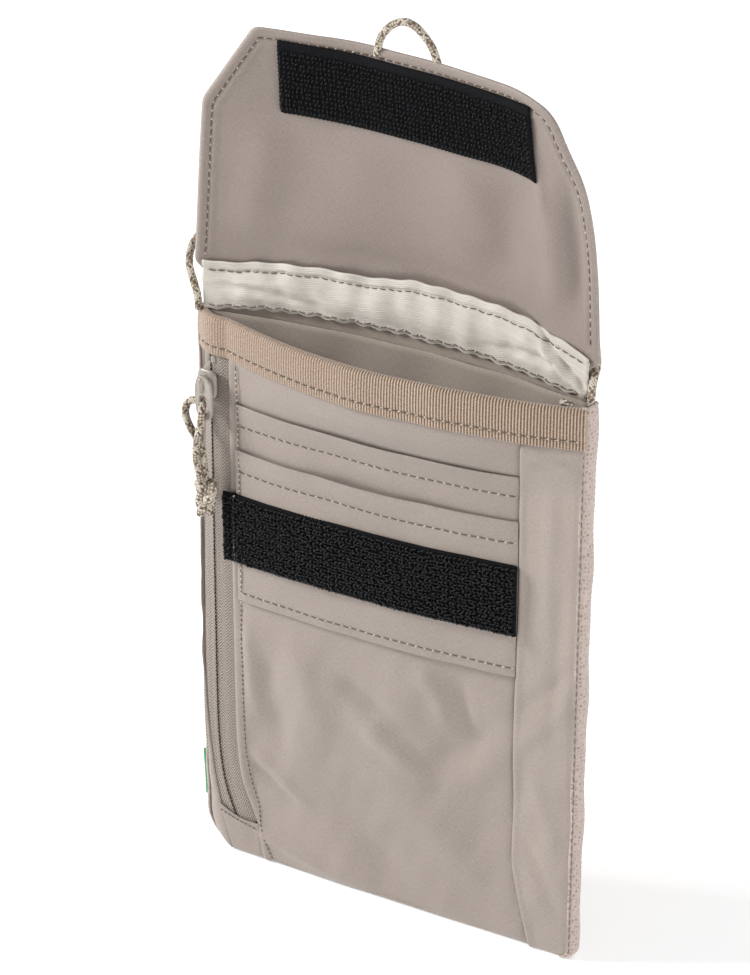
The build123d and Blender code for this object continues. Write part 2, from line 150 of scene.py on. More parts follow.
class Shader:
    """A material's node tree, built by short calls."""

    def __init__(self, name, roughness, sheen=0.0, sheen_roughness=0.5, specular=0.5):
        self.material = bpy.data.materials.new(name)
        self.material.use_nodes = True
        self.tree = self.material.node_tree
        self.out = self.tree.nodes["Principled BSDF"]
        self.out.inputs["Roughness"].default_value = roughness
        self.out.inputs["Specular IOR Level"].default_value = specular
        self.out.inputs["Sheen Weight"].default_value = sheen
        self.out.inputs["Sheen Roughness"].default_value = sheen_roughness
        self.normal = None

    def add(self, kind, inputs=None, **props):
        """A node. Each input is a number, a colour or another node's output."""
        node = self.tree.nodes.new(kind)
        for key, value in props.items():
            setattr(node, key, value)
        for key, value in (inputs or {}).items():
            if isinstance(value, bpy.types.NodeSocket):
                self.tree.links.new(value, node.inputs[key])
            else:
                node.inputs[key].default_value = value
        return node

    def math(self, operation, a, b=0.0, c=0.0):
        """A sum of numbers or outputs."""
        return self.add("ShaderNodeMath", {0: a, 1: b, 2: c}, operation=operation).outputs[0]

    def plus(self, a, b):
        """a + b"""
        return self.math("ADD", a, b)

    def less(self, a, b):
        """a - b"""
        return self.math("SUBTRACT", a, b)

    def times(self, a, b, c=None):
        """a * b, and + c where it is given"""
        return self.math("MULTIPLY", a, b) if c is None else self.math("MULTIPLY_ADD", a, b, c)

    def where(self):
        """A point's place in the piece's own coordinates."""
        return self.add("ShaderNodeTexCoord").outputs["Object"]

    def flat(self):
        """The cloth's own flat coordinates in millimetres, across and along."""
        uv = self.add("ShaderNodeUVMap", uv_map="flat").outputs[0]
        split = self.add("ShaderNodeSeparateXYZ", {0: uv})
        return uv, split.outputs[0], split.outputs[1]

    def noise(self, vector, scale, detail=3.0, roughness=0.6, stretch=None):
        """Soft random specks, stretched where stretch is given."""
        if stretch:
            vector = self.add("ShaderNodeMapping", {"Vector": vector, "Scale": stretch}).outputs[0]
        return self.add("ShaderNodeTexNoise", {"Vector": vector, "Scale": scale, "Detail": detail,
                                              "Roughness": roughness}).outputs["Fac"]

    def ramp(self, factor, stops):
        """A colour chosen by factor between stops of (place, colour)."""
        node = self.add("ShaderNodeValToRGB", {0: factor})
        elements = node.color_ramp.elements
        while len(elements) < len(stops):
            elements.new(0.5)
        for element, (place, colour) in zip(elements, stops):
            element.position = place
            element.color = (*colour, 1)
        return node.outputs[0]

    def mix(self, factor, a, b, blend="MIX"):
        """Two colours mixed, or multiplied with blend MULTIPLY."""
        node = self.add("ShaderNodeMix", {0: factor, 6: a, 7: b}, data_type="RGBA", blend_type=blend)
        return node.outputs[2]

    def wave(self, coordinate, pitch):
        """A sine from 0 to 1 along a coordinate."""
        angle = self.times(coordinate, 2 * pi / pitch)
        return self.times(self.math("SINE", angle), 0.5, 0.5)

    def bump(self, height, strength, distance):
        """Relief in the light only, distance millimetres high. Each call adds to the last."""
        under = {} if self.normal is None else {"Normal": self.normal}
        node = self.add("ShaderNodeBump", {"Height": height, "Strength": strength,
                                           "Distance": distance * MM, **under})
        self.normal = node.outputs[0]

    def done(self, colour):
        """The finished material, with its colour and relief linked."""
        self.tree.links.new(colour, self.out.inputs["Base Color"])
        self.tree.links.new(self.normal, self.out.inputs["Normal"])
        return self.material


def shade(colour, factor):
    """A colour made lighter or darker."""
    return tuple(min(1.0, c * factor) for c in colour)


def woven(name, colour, thread, sheen=0.2, roughness=0.5):
    """Plain woven cloth: crossing threads, a fine grain and a slow change of tone."""
    s = Shader(name, roughness, sheen, 0.4, 0.4)
    uv, across, along = s.flat()
    weave = s.times(s.less(s.wave(across, thread), 0.5), s.less(s.wave(along, thread), 0.5))
    warp = s.noise(uv, 1.0, 2.0, 0.6, (4.4, 0.95, 1.0))
    weft = s.noise(uv, 1.0, 2.0, 0.6, (0.95, 4.4, 1.0))
    grain = s.times(s.plus(warp, weft), 0.5, 0.0)
    slow = s.noise(uv, 0.045, 3.0, 0.55)
    s.bump(weave, 0.5, 0.14)
    s.bump(grain, 0.5, 0.2)
    tone = s.plus(s.times(slow, 0.14), s.times(grain, 0.86))
    paint = s.ramp(tone, [(0.4, shade(colour, 0.88)), (0.6, shade(colour, 1.12))])
    lines = s.times(weave, 0.5, 1.0)
    paint = s.mix(1.0, paint, s.add("ShaderNodeCombineColor", {0: lines, 1: lines, 2: lines}).outputs[0],
                  "MULTIPLY")
    return s.done(paint)


def plain(name, colour, roughness):
    """Thread: one colour with a fine grain."""
    s = Shader(name, roughness, specular=0.3)
    speck = s.noise(s.where(), 3000.0)
    s.bump(speck, 0.3, 0.1)
    return s.done(s.ramp(speck, [(0.3, shade(colour, 0.85)), (0.7, shade(colour, 1.12))]))


def braid_material():
    """A round braid: strands wound both ways, over and under, in cream, beige and brown, with painted
    shade in the grooves between them.
    """
    s = Shader("braided_cord", 0.75, 0.35, 0.5, 0.25)
    uv, turn, along = s.flat()
    run = s.times(along, BRAID_STRANDS / BRAID_PITCH)
    round_ = s.times(turn, BRAID_STRANDS)
    one = s.plus(round_, run)
    other = s.less(round_, run)
    tones = []
    for k, strand in enumerate((one, other)):
        index = s.math("FLOOR", strand)
        wrapped = s.math("FLOORED_MODULO", index, float(BRAID_STRANDS))
        seed = s.times(wrapped, 1.37, 11.3 * k + 0.5)
        tones.append(s.add("ShaderNodeTexWhiteNoise", {"W": seed}, noise_dimensions="1D").outputs[0])
    over = s.math("FLOORED_MODULO", s.plus(s.math("FLOOR", one), s.math("FLOOR", other)), 2.0)
    pick = s.plus(s.times(over, tones[0]), s.times(s.less(1.0, over), tones[1]))
    speck = s.noise(uv, 2.3, 3.0)
    pick = s.plus(pick, s.times(s.less(speck, 0.5), 0.9))
    paint = s.ramp(pick, [(0.1, (0.1, 0.068, 0.045)), (0.26, (0.24, 0.175, 0.12)),
                          (0.48, (0.4, 0.33, 0.25)), (0.8, (0.6, 0.54, 0.45))])
    edge = s.times(s.math("PINGPONG", one, 0.5), s.math("PINGPONG", other, 0.5))
    s.bump(edge, 0.9, 0.25)
    # Painted shade: the grooves between the strands are mixed toward dark brown.
    groove = s.times(s.math("LESS_THAN", edge, 0.035), 0.55)
    return s.done(s.mix(groove, paint, (0.06, 0.045, 0.03, 1)))


def grosgrain_material():
    """Ribbed tape: each rib is lit on its crown and dark in the groove beside it."""
    s = Shader("grosgrain", 0.6, 0.3, 0.5, 0.35)
    uv, across, along = s.flat()
    rib = s.wave(across, RIB_PITCH)
    thread = s.wave(along, 0.5)
    s.bump(thread, 0.5, 0.1)
    grain = s.noise(uv, 1.6, 4.0, 0.7)
    # The painted light and shade of the ribs is stronger toward the right.
    clear = s.times(s.add("ShaderNodeMapRange", {0: across, 1: 25.0, 2: 80.0}).outputs[0], 0.42, 0.3)
    level = s.plus(s.times(s.less(rib, 0.5), clear),
                   s.plus(s.times(s.less(grain, 0.5), 0.9), s.times(thread, 0.16, 0.42)))
    return s.done(s.ramp(level, [(0.12, (0.085, 0.052, 0.034)), (0.5, (0.27, 0.185, 0.128)),
                                 (0.85, (0.475, 0.362, 0.262))]))


def webbing_material():
    """Soft off-white webbing with fine ribs along it."""
    s = Shader("webbing", 0.65, 0.4, 0.5, 0.3)
    uv, across, along = s.flat()
    rib = s.wave(along, 0.55)
    cross = s.wave(across, 0.4)
    s.bump(rib, 0.6, 0.1)
    s.bump(cross, 0.3, 0.06)
    stain = s.noise(uv, 0.09, 3.0)
    tone = s.plus(s.times(rib, 0.25), s.times(stain, 0.75))
    return s.done(s.ramp(tone, [(0.25, (0.38, 0.348, 0.303)), (0.7, (0.585, 0.547, 0.487))]))


def herringbone_material():
    """Zip tape: twill lines that lean one way and then the other."""
    s = Shader("zip_tape", 0.6, 0.3, 0.5, 0.35)
    uv, across, along = s.flat()
    lean = s.math("PINGPONG", across, TWILL_BAND)
    line = s.wave(s.plus(along, s.times(lean, TWILL_LEAN)), TWILL_PITCH)
    speck = s.noise(uv, 2.2, 3.0, 0.7)
    level = s.plus(s.times(line, 0.42), s.times(speck, 0.75))
    s.bump(line, 0.7, 0.16)
    return s.done(s.ramp(level, [(0.25, (0.08, 0.061, 0.049)), (0.55, (0.225, 0.184, 0.154)),
                                 (0.85, (0.42, 0.357, 0.308))]))


def mesh_material():
    """Knitted spacer mesh: light ribs, and small openings painted dark as the shade down in them."""
    s = Shader("spacer_mesh", 0.8, 0.3, 0.5, 0.25)
    uv, across, along = s.flat()
    cell = s.add("ShaderNodeTexVoronoi", {"Vector": uv, "Scale": 0.85, "Randomness": 0.55},
                 feature="DISTANCE_TO_EDGE").outputs["Distance"]
    s.bump(cell, 0.7, -0.3)
    grain = s.noise(uv, 2.4, 3.0)
    s.bump(grain, 0.5, 0.2)
    # Painted shade: darker toward each cell's middle, in the openings.
    level = s.plus(s.times(cell, 1.15), s.times(grain, 0.45))
    return s.done(s.ramp(level, [(0.12, (0.49, 0.41, 0.37)), (0.4, (0.43, 0.35, 0.31)),
                                 (0.68, (0.23, 0.18, 0.155))]))


def coat_material():
    """Satin paint over a die-cast slider."""
    s = Shader("slider_paint", 0.34)
    s.bump(s.noise(s.where(), 900.0, 2.0), 0.12, 0.06)
    wear = s.noise(s.where(), 260.0, 3.0)
    return s.done(s.ramp(wear, [(0.35, (0.27, 0.235, 0.205)), (0.7, (0.34, 0.3, 0.265))]))


def black_material(name, roughness, specular):
    """Black nylon, in the flat weave of a tape or the glinting threads of its pile."""
    s = Shader(name, roughness, specular=specular)
    speck = s.noise(s.where(), 1500.0, 2.0)
    s.bump(speck, 0.4, 0.06)
    return s.done(s.ramp(speck, [(0.3, (0.00224, 0.0024, 0.00288)), (0.75, (0.0072, 0.0076, 0.0092))]))


mat = {
    "body": woven("body_cloth", (0.292, 0.245, 0.214), 0.42),
    # The flap's inner face: the body cloth made darker, painted shade.
    "flap_in_painted_shade": woven("flap_lining_cloth_painted_shade", (0.245, 0.2, 0.175), 0.42),
    "lining": woven("lining_cloth", (0.34, 0.285, 0.24), 0.38, sheen=0.1, roughness=0.75),
    # The right side panel's cloth: the body cloth made lighter, painted light.
    "side": woven("side_cloth_painted_light", (0.322, 0.272, 0.238), 0.42),
    "braid": braid_material(),
    "binding": grosgrain_material(),
    "webbing": webbing_material(),
    "tape": herringbone_material(),
    "mesh": mesh_material(),
    "coat": coat_material(),
    "black": black_material("black_tape", 0.8, 0.1),
    "pile": black_material("black_pile", 0.4, 0.34),
    "label": woven("label_cloth", (0.035, 0.23, 0.085), 0.3, sheen=0.1),
    "thread_dark": plain("thread_dark", (0.13, 0.095, 0.07), 0.6),
    "seam_dark": plain("seam_dark", (0.025, 0.02, 0.018), 0.7),
    "thread_light": plain("thread_light", (0.55, 0.485, 0.4), 0.6),
    "tie": woven("tie_cloth", (0.08, 0.07, 0.065), 0.5),
}


# --- Mesh building

def link_mesh(name, points, faces, material, flat=None):
    """An object from points in millimetres, with flat coordinates where they are given."""
    mesh = bpy.data.meshes.new(name)
    mesh.from_pydata((np.asarray(points, float) * MM).tolist(), [], faces)
    mesh.materials.append(material)
    if flat is not None:
        layer = mesh.uv_layers.new(name="flat")
        corners = np.zeros(len(mesh.loops), np.int32)
        mesh.loops.foreach_get("vertex_index", corners)
        layer.data.foreach_set("uv", np.asarray(flat, np.float32)[corners].ravel())
    mesh.shade_smooth()
    obj = bpy.data.objects.new(name, mesh)
    bpy.context.scene.collection.objects.link(obj)
    return obj


def clean_up(obj, weld=0.0, outward=True):
    """Weld points closer than weld millimetres, and turn the faces outward."""
    mesh = bmesh.new()
    mesh.from_mesh(obj.data)
    if weld:
        bmesh.ops.remove_doubles(mesh, verts=mesh.verts, dist=weld * MM)
    if outward:
        bmesh.ops.recalc_face_normals(mesh, faces=mesh.faces)
    mesh.to_mesh(obj.data)
    mesh.free()
    return obj


def place(obj, body, slot, replaces=()):
    """Put a piece on its body, in place of some of the frame's nodes. slot is not used."""
    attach(obj, body)
    if replaces:
        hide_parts(*replaces)
    return obj


def unit(v):
    """Vectors brought to length 1."""
    return v / np.maximum(np.linalg.norm(v, axis=-1, keepdims=True), 1e-9)


def bell(t):
    """A smooth bump, 1 where t is 0."""
    return np.exp(-t ** 2)


def ease(t):
    """0 below 0, 1 above 1 and smooth between."""
    t = np.clip(t, 0, 1)
    return t * t * (3 - 2 * t)


def points_of(*axes):
    """Points from their coordinates, one array for each axis."""
    return np.stack(axes, -1)


def span(start, end, step):
    """Even values from start to end, about step apart."""
    return np.linspace(start, end, max(2, int(round(abs(end - start) / step)) + 1))


def cloth(name, surface, flat, thick, material, face=OUT_FRONT):
    """A closed sheet with rounded edges. surface is a grid of points on the side that faces face."""
    rows, cols = surface.shape[:2]
    normal = unit(np.cross(np.gradient(surface, axis=0), np.gradient(surface, axis=1)))
    if (normal @ np.array(face, float)).mean() < 0:
        normal = -normal
    back = surface - normal * thick
    loop = ([(i, 0) for i in range(rows)] + [(rows - 1, j) for j in range(1, cols)]
            + [(i, cols - 1) for i in range(rows - 2, -1, -1)] + [(0, j) for j in range(cols - 2, 0, -1)])
    rim = []
    for i, j in loop:
        out = np.zeros(3)
        if i in (0, rows - 1):
            inner = min(max(i, 1), rows - 2)
            out += unit(surface[i, j] - surface[inner, j])
        if j in (0, cols - 1):
            inner = min(max(j, 1), cols - 2)
            out += unit(surface[i, j] - surface[i, inner])
        rim.append((surface[i, j] + back[i, j]) / 2 + unit(out) * thick / 2)
    count = rows * cols
    points = np.concatenate([surface.reshape(-1, 3), back.reshape(-1, 3), np.array(rim)])
    flats = flat.reshape(-1, 2)
    flats = np.concatenate([flats, flats, [flat[i, j] for i, j in loop]])
    index = np.arange(count).reshape(rows, cols)
    quads = points_of(index[:-1, :-1], index[1:, :-1], index[1:, 1:], index[:-1, 1:]).reshape(-1, 4)
    faces = quads.tolist() + (quads[:, ::-1] + count).tolist()
    edge = [index[i, j] for i, j in loop]
    for k in range(len(loop)):
        n = (k + 1) % len(loop)
        faces.append((edge[n], edge[k], 2 * count + k, 2 * count + n))
        faces.append((2 * count + n, 2 * count + k, edge[k] + count, edge[n] + count))
    return clean_up(link_mesh(name, points, [tuple(int(v) for v in f) for f in faces], material, flats))


def frames_along(path):
    """Two directions across a path at each of its points, without twist."""
    tangent = unit(np.gradient(path, axis=0))
    side = np.cross(tangent[0], (0, 0, 1.0))
    if np.linalg.norm(side) < 0.1:
        side = np.cross(tangent[0], (0, 1.0, 0))
    sides = []
    for t in tangent:
        side = side - t * (side @ t)
        side = side / np.linalg.norm(side)
        sides.append(side)
    sides = np.array(sides)
    return sides, np.cross(tangent, sides)


def points_at(path, at, want):
    """Points on a path at the wanted distances along it."""
    return np.stack([np.interp(want, at, path[:, k]) for k in range(3)], -1)


def resample(path, step):
    """Points at even distances along a path, and those distances."""
    gaps = np.linalg.norm(np.diff(path, axis=0), axis=1)
    at = np.concatenate([[0], np.cumsum(gaps)])
    want = np.linspace(0, at[-1], max(3, int(round(at[-1] / step)) + 1))
    return points_at(path, at, want), want


def lifted(line):
    """A flat line of (x, z), as points at y = 0."""
    return np.insert(line, 1, 0.0, axis=1)


def mesh_of_curve(data):
    """The mesh that Blender makes of a curve."""
    source = bpy.data.objects.new("curve", data)
    bpy.context.scene.collection.objects.link(source)
    mesh = bpy.data.meshes.new_from_object(source)
    bpy.data.objects.remove(source)
    return mesh


def spline_path(points):
    """The smooth line of a NURBS route, read from Blender. Points are in millimetres."""
    data = bpy.data.curves.new("route", "CURVE")
    data.dimensions = "3D"
    spline = data.splines.new("NURBS")
    spline.points.add(len(points) - 1)
    for point, spot in zip(spline.points, points):
        point.co = (*[c * MM for c in spot], 1)
    spline.order_u = 3
    spline.use_endpoint_u = True
    spline.resolution_u = 16
    mesh = mesh_of_curve(data)
    path = np.array([v.co for v in mesh.vertices], float) / MM
    bpy.data.meshes.remove(mesh)
    return path


def braid_relief(turn, along):
    """The strands' crowns on a braided cord."""
    one = turn * BRAID_STRANDS + along * BRAID_STRANDS / BRAID_PITCH
    other = turn * BRAID_STRANDS - along * BRAID_STRANDS / BRAID_PITCH
    return 0.16 * (np.abs(np.sin(pi * one) * np.sin(pi * other)) ** 0.5 - 0.6)


def tube(name, path, radius, step=0.4, sides=18):
    """A braided tube along a path, with closed ends."""
    path, at = resample(path, step)
    u, v = frames_along(path)
    turns = np.arange(sides + 1) / sides
    angle = turns * 2 * pi
    r = radius + braid_relief(turns[None, :], at[:, None])
    ring = (path[:, None] + r[..., None] * (np.cos(angle)[None, :, None] * u[:, None]
                                            + np.sin(angle)[None, :, None] * v[:, None]))
    points = ring.reshape(-1, 3)
    flats = np.stack(np.broadcast_arrays(turns[None, :], at[:, None]), -1).reshape(-1, 2)
    wide = sides + 1
    index = np.arange(len(path) * wide).reshape(len(path), wide)
    quads = points_of(index[:-1, :-1], index[:-1, 1:], index[1:, 1:], index[1:, :-1]).reshape(-1, 4)
    faces = [tuple(q) for q in quads.tolist()]
    tangent = unit(np.gradient(path, axis=0))
    caps = np.array([path[0] - tangent[0] * radius * 0.4, path[-1] + tangent[-1] * radius * 0.4])
    start, end = len(points), len(points) + 1
    for k in range(sides):
        faces.append((int(index[0, k + 1]), int(index[0, k]), start))
        faces.append((int(index[-1, k]), int(index[-1, k + 1]), end))
    points = np.concatenate([points, caps])
    flats = np.concatenate([flats, [[0.5, at[0]], [0.5, at[-1]]]])
    return clean_up(link_mesh(name, points, faces, mat["braid"], flats), 0.002, outward=False)


def braided_cord(name, points):
    """A braided cord along a route, and the path that it follows, in millimetres."""
    path = spline_path(points)
    return tube(name, path, CORD_D / 2 - 0.06, 0.42), path


# --- Neck cord

left_route = [
    (-58.8, -0.1, BODY_H), (-58.8, -0.1, 171.6), (-60.2, 0.0, 175.6), (-62.4, 1.0, 179.8),
    (-63.5, 4.4, 184.2), (-62.9, 9.8, 186.6), (-59.4, 14.2, 185.4), (-55.8, 16.4, 180.6),
    (-52.6, 17.0, 171.8), (-49.8, 16.8, 156), (-48.0, 16.2, 131), (-47.2, 14.6, 93),
    (-47.6, 13.4, 52), (-47.0, 14.2, 25), (-45.2, 16.2, 11.6), (-42.0, 19.0, 4.4),
    (-37.6, 21.6, 2.0), (-33.2, 23.0, 1.7), (-29.0, 23.0, 1.7)]
right_route = [
    (58.8, -0.1, BODY_H), (58.8, -0.1, 171.4), (58.9, 0.8, 174.8), (58.6, 3.2, 177.2),
    (57.0, 6.6, 178.0), (54.4, 10.2, 176.8), (52.0, 13.2, 173.2), (50.8, 15.4, 167.0),
    (50.2, 16.4, 156.0), (50.0, 16.4, 138), (49.4, 15.0, 101), (50.0, 13.6, 58),
    (49.6, 14.6, 29), (48.0, 16.8, 13.6), (44.6, 19.6, 5.2), (39.6, 23.0, 2.1),
    (34.4, 25.0, 1.7), (29.0, 25.0, 1.7)]

HANK_Y = 24.0
HANK_STRAIGHT = 19.0
HANK_LOW = 1.7
HANK_TURNS = [(6.6, 0.0), (8.9, 0.0), (8.9, 2.2), (6.6, 2.2)]    # radius and lift of each turn


def hank_route():
    """Turns of a racetrack, over the two ends of the cord where they run in at the bottom."""
    points = [(-24.0, 22.4, HANK_LOW), (-17.0, 19.6, HANK_LOW), (-9.0, 17.6, HANK_LOW)]
    before = HANK_TURNS[0]
    for radius, lift in HANK_TURNS:
        for k in range(16):
            share = k / 16
            r = before[0] + (radius - before[0]) * min(1, share * 4)
            low = HANK_LOW + before[1] + (lift - before[1]) * min(1, share * 4)
            if k < 3:
                x, y, hump = -9 + 9 * k, HANK_Y - r, 0.0
            elif k < 8:
                angle = -pi / 2 + (k - 3 + 0.5) / 5 * pi
                x, y, hump = HANK_STRAIGHT + r * cos(angle), HANK_Y + r * sin(angle), 2.3 * cos(angle)
            elif k < 11:
                x, y, hump = 9 - 9 * (k - 8), HANK_Y + r, 0.0
            else:
                angle = pi / 2 + (k - 11 + 0.5) / 5 * pi
                x, y, hump = -HANK_STRAIGHT + r * cos(angle), HANK_Y + r * sin(angle), -2.3 * cos(angle)
            points.append((x, y, low + max(0.0, hump)))
        before = (radius, lift)
    points += [(-9.0, 18.6, 3.6), (0.0, 20.4, 2.6), (9.0, 22.6, 1.9), (17.0, 24.4, HANK_LOW),
               (24.0, 25.2, HANK_LOW)]
    return points


neck_points = left_route + hank_route() + right_route[::-1]
neck_cord, neck_path = braided_cord("neck_cord", neck_points)
place(neck_cord, "pouch", "cord", ["neck_cord_left", "neck_cord_right", "neck_cord_hank"])
[c * MM for c in left_route[0]]

add_camera()
add_stage()


# --- The pouch's surfaces

class Wall:
    """A bulging sheet: at each height an arc through its two ends, sag deep in the middle."""

    def __init__(self, centre, half, out, rows):
        self.centre, self.half, self.out = centre, half, out
        self.heights, self.ends, self.sags = np.array(rows, float).T

    def y(self, x, z):
        """The wall's depth, with its rows blended over 18 mm of height."""
        spread = np.linspace(-9, 9, 7)
        end = sum(np.interp(z + s, self.heights, self.ends) for s in spread) / len(spread)
        sag = sum(np.interp(z + s, self.heights, self.sags) for s in spread) / len(spread)
        r = (self.half ** 2 + sag ** 2) / (2 * sag)
        reach = np.clip(np.abs(x - self.centre), 0, self.half)
        return end + self.out * (np.sqrt(r ** 2 - reach ** 2) - (r - sag))


# Each wall's rows: height, depth at its ends and sag
DIVIDER = Wall(0, HALF_W, 1, [
    (0, SEAM_Y, 0.3), (55, SEAM_Y, 1.2), (105, SEAM_Y, 3.5), (155, SEAM_Y, 6.3), (190, SEAM_Y, 6.5)])
BACK = Wall(0, HALF_W, 1, [
    (0, SEAM_Y, 0.6), (55, SEAM_Y, 2.0), (105, SEAM_Y, 5.0), (155, SEAM_Y, 9.0), (BODY_H, SEAM_Y, 9.5)])
FLAP = Wall(0, HALF_W, 1, [(BODY_H, SEAM_Y + 4.9, 9.5), (FLAP_TIP_Z, SEAM_Y + 0.8, 9.0)])


def swell(x, z, seed, size, slant=(1.0, 1.0)):
    """A smooth random surface, about -1 to 1, with bumps of about one size."""
    rng = np.random.default_rng(seed)
    total, waves = 0.0, 9
    for _ in range(waves):
        angle, phase = rng.uniform(0, 2 * pi, 2)
        length = size * rng.uniform(0.7, 1.6)
        along = x * slant[0] * cos(angle) + z * slant[1] * sin(angle)
        total = total + np.sin(along * 2 * pi / length + phase)
    return total / sqrt(waves)


def crease(x, z, start, end, width, height, bend):
    """A soft ridge from start to end that fades at both. A negative height is a valley."""
    dx, dz = end[0] - start[0], end[1] - start[1]
    length = hypot(dx, dz)
    along = ((x - start[0]) * dx + (z - start[1]) * dz) / length ** 2
    across = ((z - start[1]) * dx - (x - start[0]) * dz) / length - bend * 4 * along * (1 - along)
    fade = ease(along * 3) * ease((1 - along) * 3)
    return height * bell(across / width) * fade


# Each crease: start, end, width, height and bend
FRONT_CREASES = [
    ((-18, 72), (17, 51), 3.2, -1.2, 0.0), ((-12, 62), (20, 43), 4.2, 1.0, 0.0),
    ((11, 86), (24, 60), 3.4, 1.0, 0.0), ((22, 84), (28, 58), 3.0, -0.9, 0.0),
    ((10, 45), (40, 71), 4.0, -0.8, 0.0), ((16, 40), (44, 62), 4.5, 0.6, 0.0),
    ((-46, 38), (-22, 24), 2.4, 0.8, 0.0), ((-46, 33), (-26, 21), 2.2, -0.5, 0.0),
    ((-39, 76), (-31, 34), 4.5, -0.9, 0.0), ((-44, 80), (-40, 46), 3.0, 0.7, 0.0),
    ((-46, 10), (-14, 4), 2.2, 0.7, 0.0), ((-29, 80), (-17, 46), 5.0, 0.7, 0.0),
    ((4, 40), (36, 12), 6.0, 0.6, 1.0), ((-16, 30), (8, 8), 5.0, -0.5, 0.0)]
SIDE_CREASES = [
    ((42, 155), (60, 149), 1.5, 0.5, 0.5), ((42, 150), (59, 154), 1.4, -0.4, 0.3),
    ((50, 152), (49, 92), 2.4, 0.4, 0.6), ((55, 124), (52, 56), 2.2, -0.4, -0.6),
    ((39, 60), (62, 86), 2.6, 0.6, 0.0), ((40, 72), (62, 96), 2.2, -0.5, 0.0),
    ((44, 62), (56, 26), 2.5, 0.4, 0.8), ((43, 40), (57, 10), 2.2, -0.4, 0.3)]


def front_relief(x, z):
    """How far the front's soft wrinkles stand out."""
    below = ease((86 - z) / 12)
    out = swell(x, z, 4, 30, slant=(1.0, 0.7)) * (0.16 + 0.5 * below)
    out = out + swell(x, z, 9, 10, slant=(1.0, 0.6)) * (0.05 + 0.11 * below)
    for ridge in FRONT_CREASES:
        out = out + 1.5 * below * crease(x, z, *ridge)
    for ridge in SIDE_CREASES:
        out = out + 1.3 * ease((x - 41) / 3) * crease(x, z, *ridge)
    return out * ease((x + 47) / 5) * ease((60 - x) / 4) * ease((z + 1) / 7)


# The mouth's front edge is an arc: its middle, half width and sag
MOUTH_X = 6.25
MOUTH_HALF = 53.75
MOUTH_SAG = 9.0


def front_y(x, z):
    """The front's face: bulged at the mouth, nearly flat below, turned back at the left."""
    x, z = np.broadcast_arrays(np.asarray(x, float), np.asarray(z, float))
    mouth = MOUTH_SAG * ease((z - 138) / 20)
    r = (MOUTH_HALF ** 2 + MOUTH_SAG ** 2) / (2 * MOUTH_SAG)
    reach = np.clip(np.abs(x - MOUTH_X), 0, MOUTH_HALF)
    arc = (np.sqrt(r ** 2 - reach ** 2) - (r - MOUTH_SAG)) / MOUTH_SAG
    belly = np.interp(z, [0, 10, 55, 105, 135, 150, 158], [0.5, 0.9, 2.0, 2.4, 2.6, 1.6, 0.0])
    lens = np.maximum(0, 1 - ((x + 2.2) / 44.5) ** 2)
    left = np.interp(z, [0, 60, 100, 150], [1.2, 1.7, 3.0, 5.6]) * (np.maximum(0, -50.5 - x) / 8.5) ** 2
    low = np.clip((4.5 - z) / 4.5, 0, 1)
    turn_in = 1.6 * (1 - np.sqrt(1 - 0.96 * low ** 2))
    return SEAM_Y - mouth * arc - belly * lens + left + turn_in


def front(x, z, depth=0.0):
    """Points on the front, at a depth behind its face."""
    x, z = np.broadcast_arrays(np.asarray(x, float), np.asarray(z, float))
    return points_of(x, front_y(x, z) - front_relief(x, z) + depth, z)


def left_out(z):
    """How far left the body reaches: its lower corner is rounded."""
    corner = 11
    low = np.clip(corner - z, 0, corner)
    wave = 0.2 * np.sin(z / 5.3) + 0.13 * np.sin(z / 2.7 + 1)
    return -HALF_W + corner - np.sqrt(corner ** 2 - low ** 2) + wave * ease(z / 12)


def right_out(z):
    """How far right the body reaches."""
    corner = 3.5
    low = np.clip(corner - z, 0, corner)
    wave = 0.2 * np.sin(z / 6.1 + 0.7) + 0.13 * np.sin(z / 3.1)
    return HALF_W - corner + np.sqrt(corner ** 2 - low ** 2) + wave * ease(z / 12)


def run_along(line):
    """How far along a flat line each of its points is."""
    return np.concatenate([[0], np.cumsum(np.hypot(*np.diff(line, axis=0).T))])


def inside(outline, x, z):
    """Which points lie inside a closed outline."""
    hit = np.zeros(x.shape, bool)
    for (x0, z0), (x1, z1) in zip(outline, np.roll(outline, -1, axis=0)):
        crosses = (z0 > z) != (z1 > z)
        if crosses.any():
            hit ^= crosses & (x < (x1 - x0) * (z - z0) / (z1 - z0 + 1e-12) + x0)
    return hit


def nearest(outline, x, z, closed=True):
    """The nearest point on an outline, its distance, and how far along the outline it is."""
    ends = np.roll(outline, -1, axis=0) if closed else outline[1:]
    best = np.full(x.shape, 1e9)
    px, pz, at = x.copy(), z.copy(), np.zeros(x.shape)
    run = 0.0
    for (x0, z0), (x1, z1) in zip(outline, ends):
        dx, dz = x1 - x0, z1 - z0
        length = max(hypot(dx, dz), 1e-9)
        t = np.clip(((x - x0) * dx + (z - z0) * dz) / length ** 2, 0, 1)
        cx, cz = x0 + t * dx, z0 + t * dz
        far = np.hypot(x - cx, z - cz)
        closer = far < best
        best = np.where(closer, far, best)
        px, pz = np.where(closer, cx, px), np.where(closer, cz, pz)
        at = np.where(closer, run + t * length, at)
        run += length
    return px, pz, best, at


def broad_normal(surface, x, z, h=1.5):
    """A surface's direction, taken wide enough to pass over its stitches and ridges."""
    return unit(np.cross(surface(x + h, z) - surface(x - h, z), surface(x, z + h) - surface(x, z - h)))


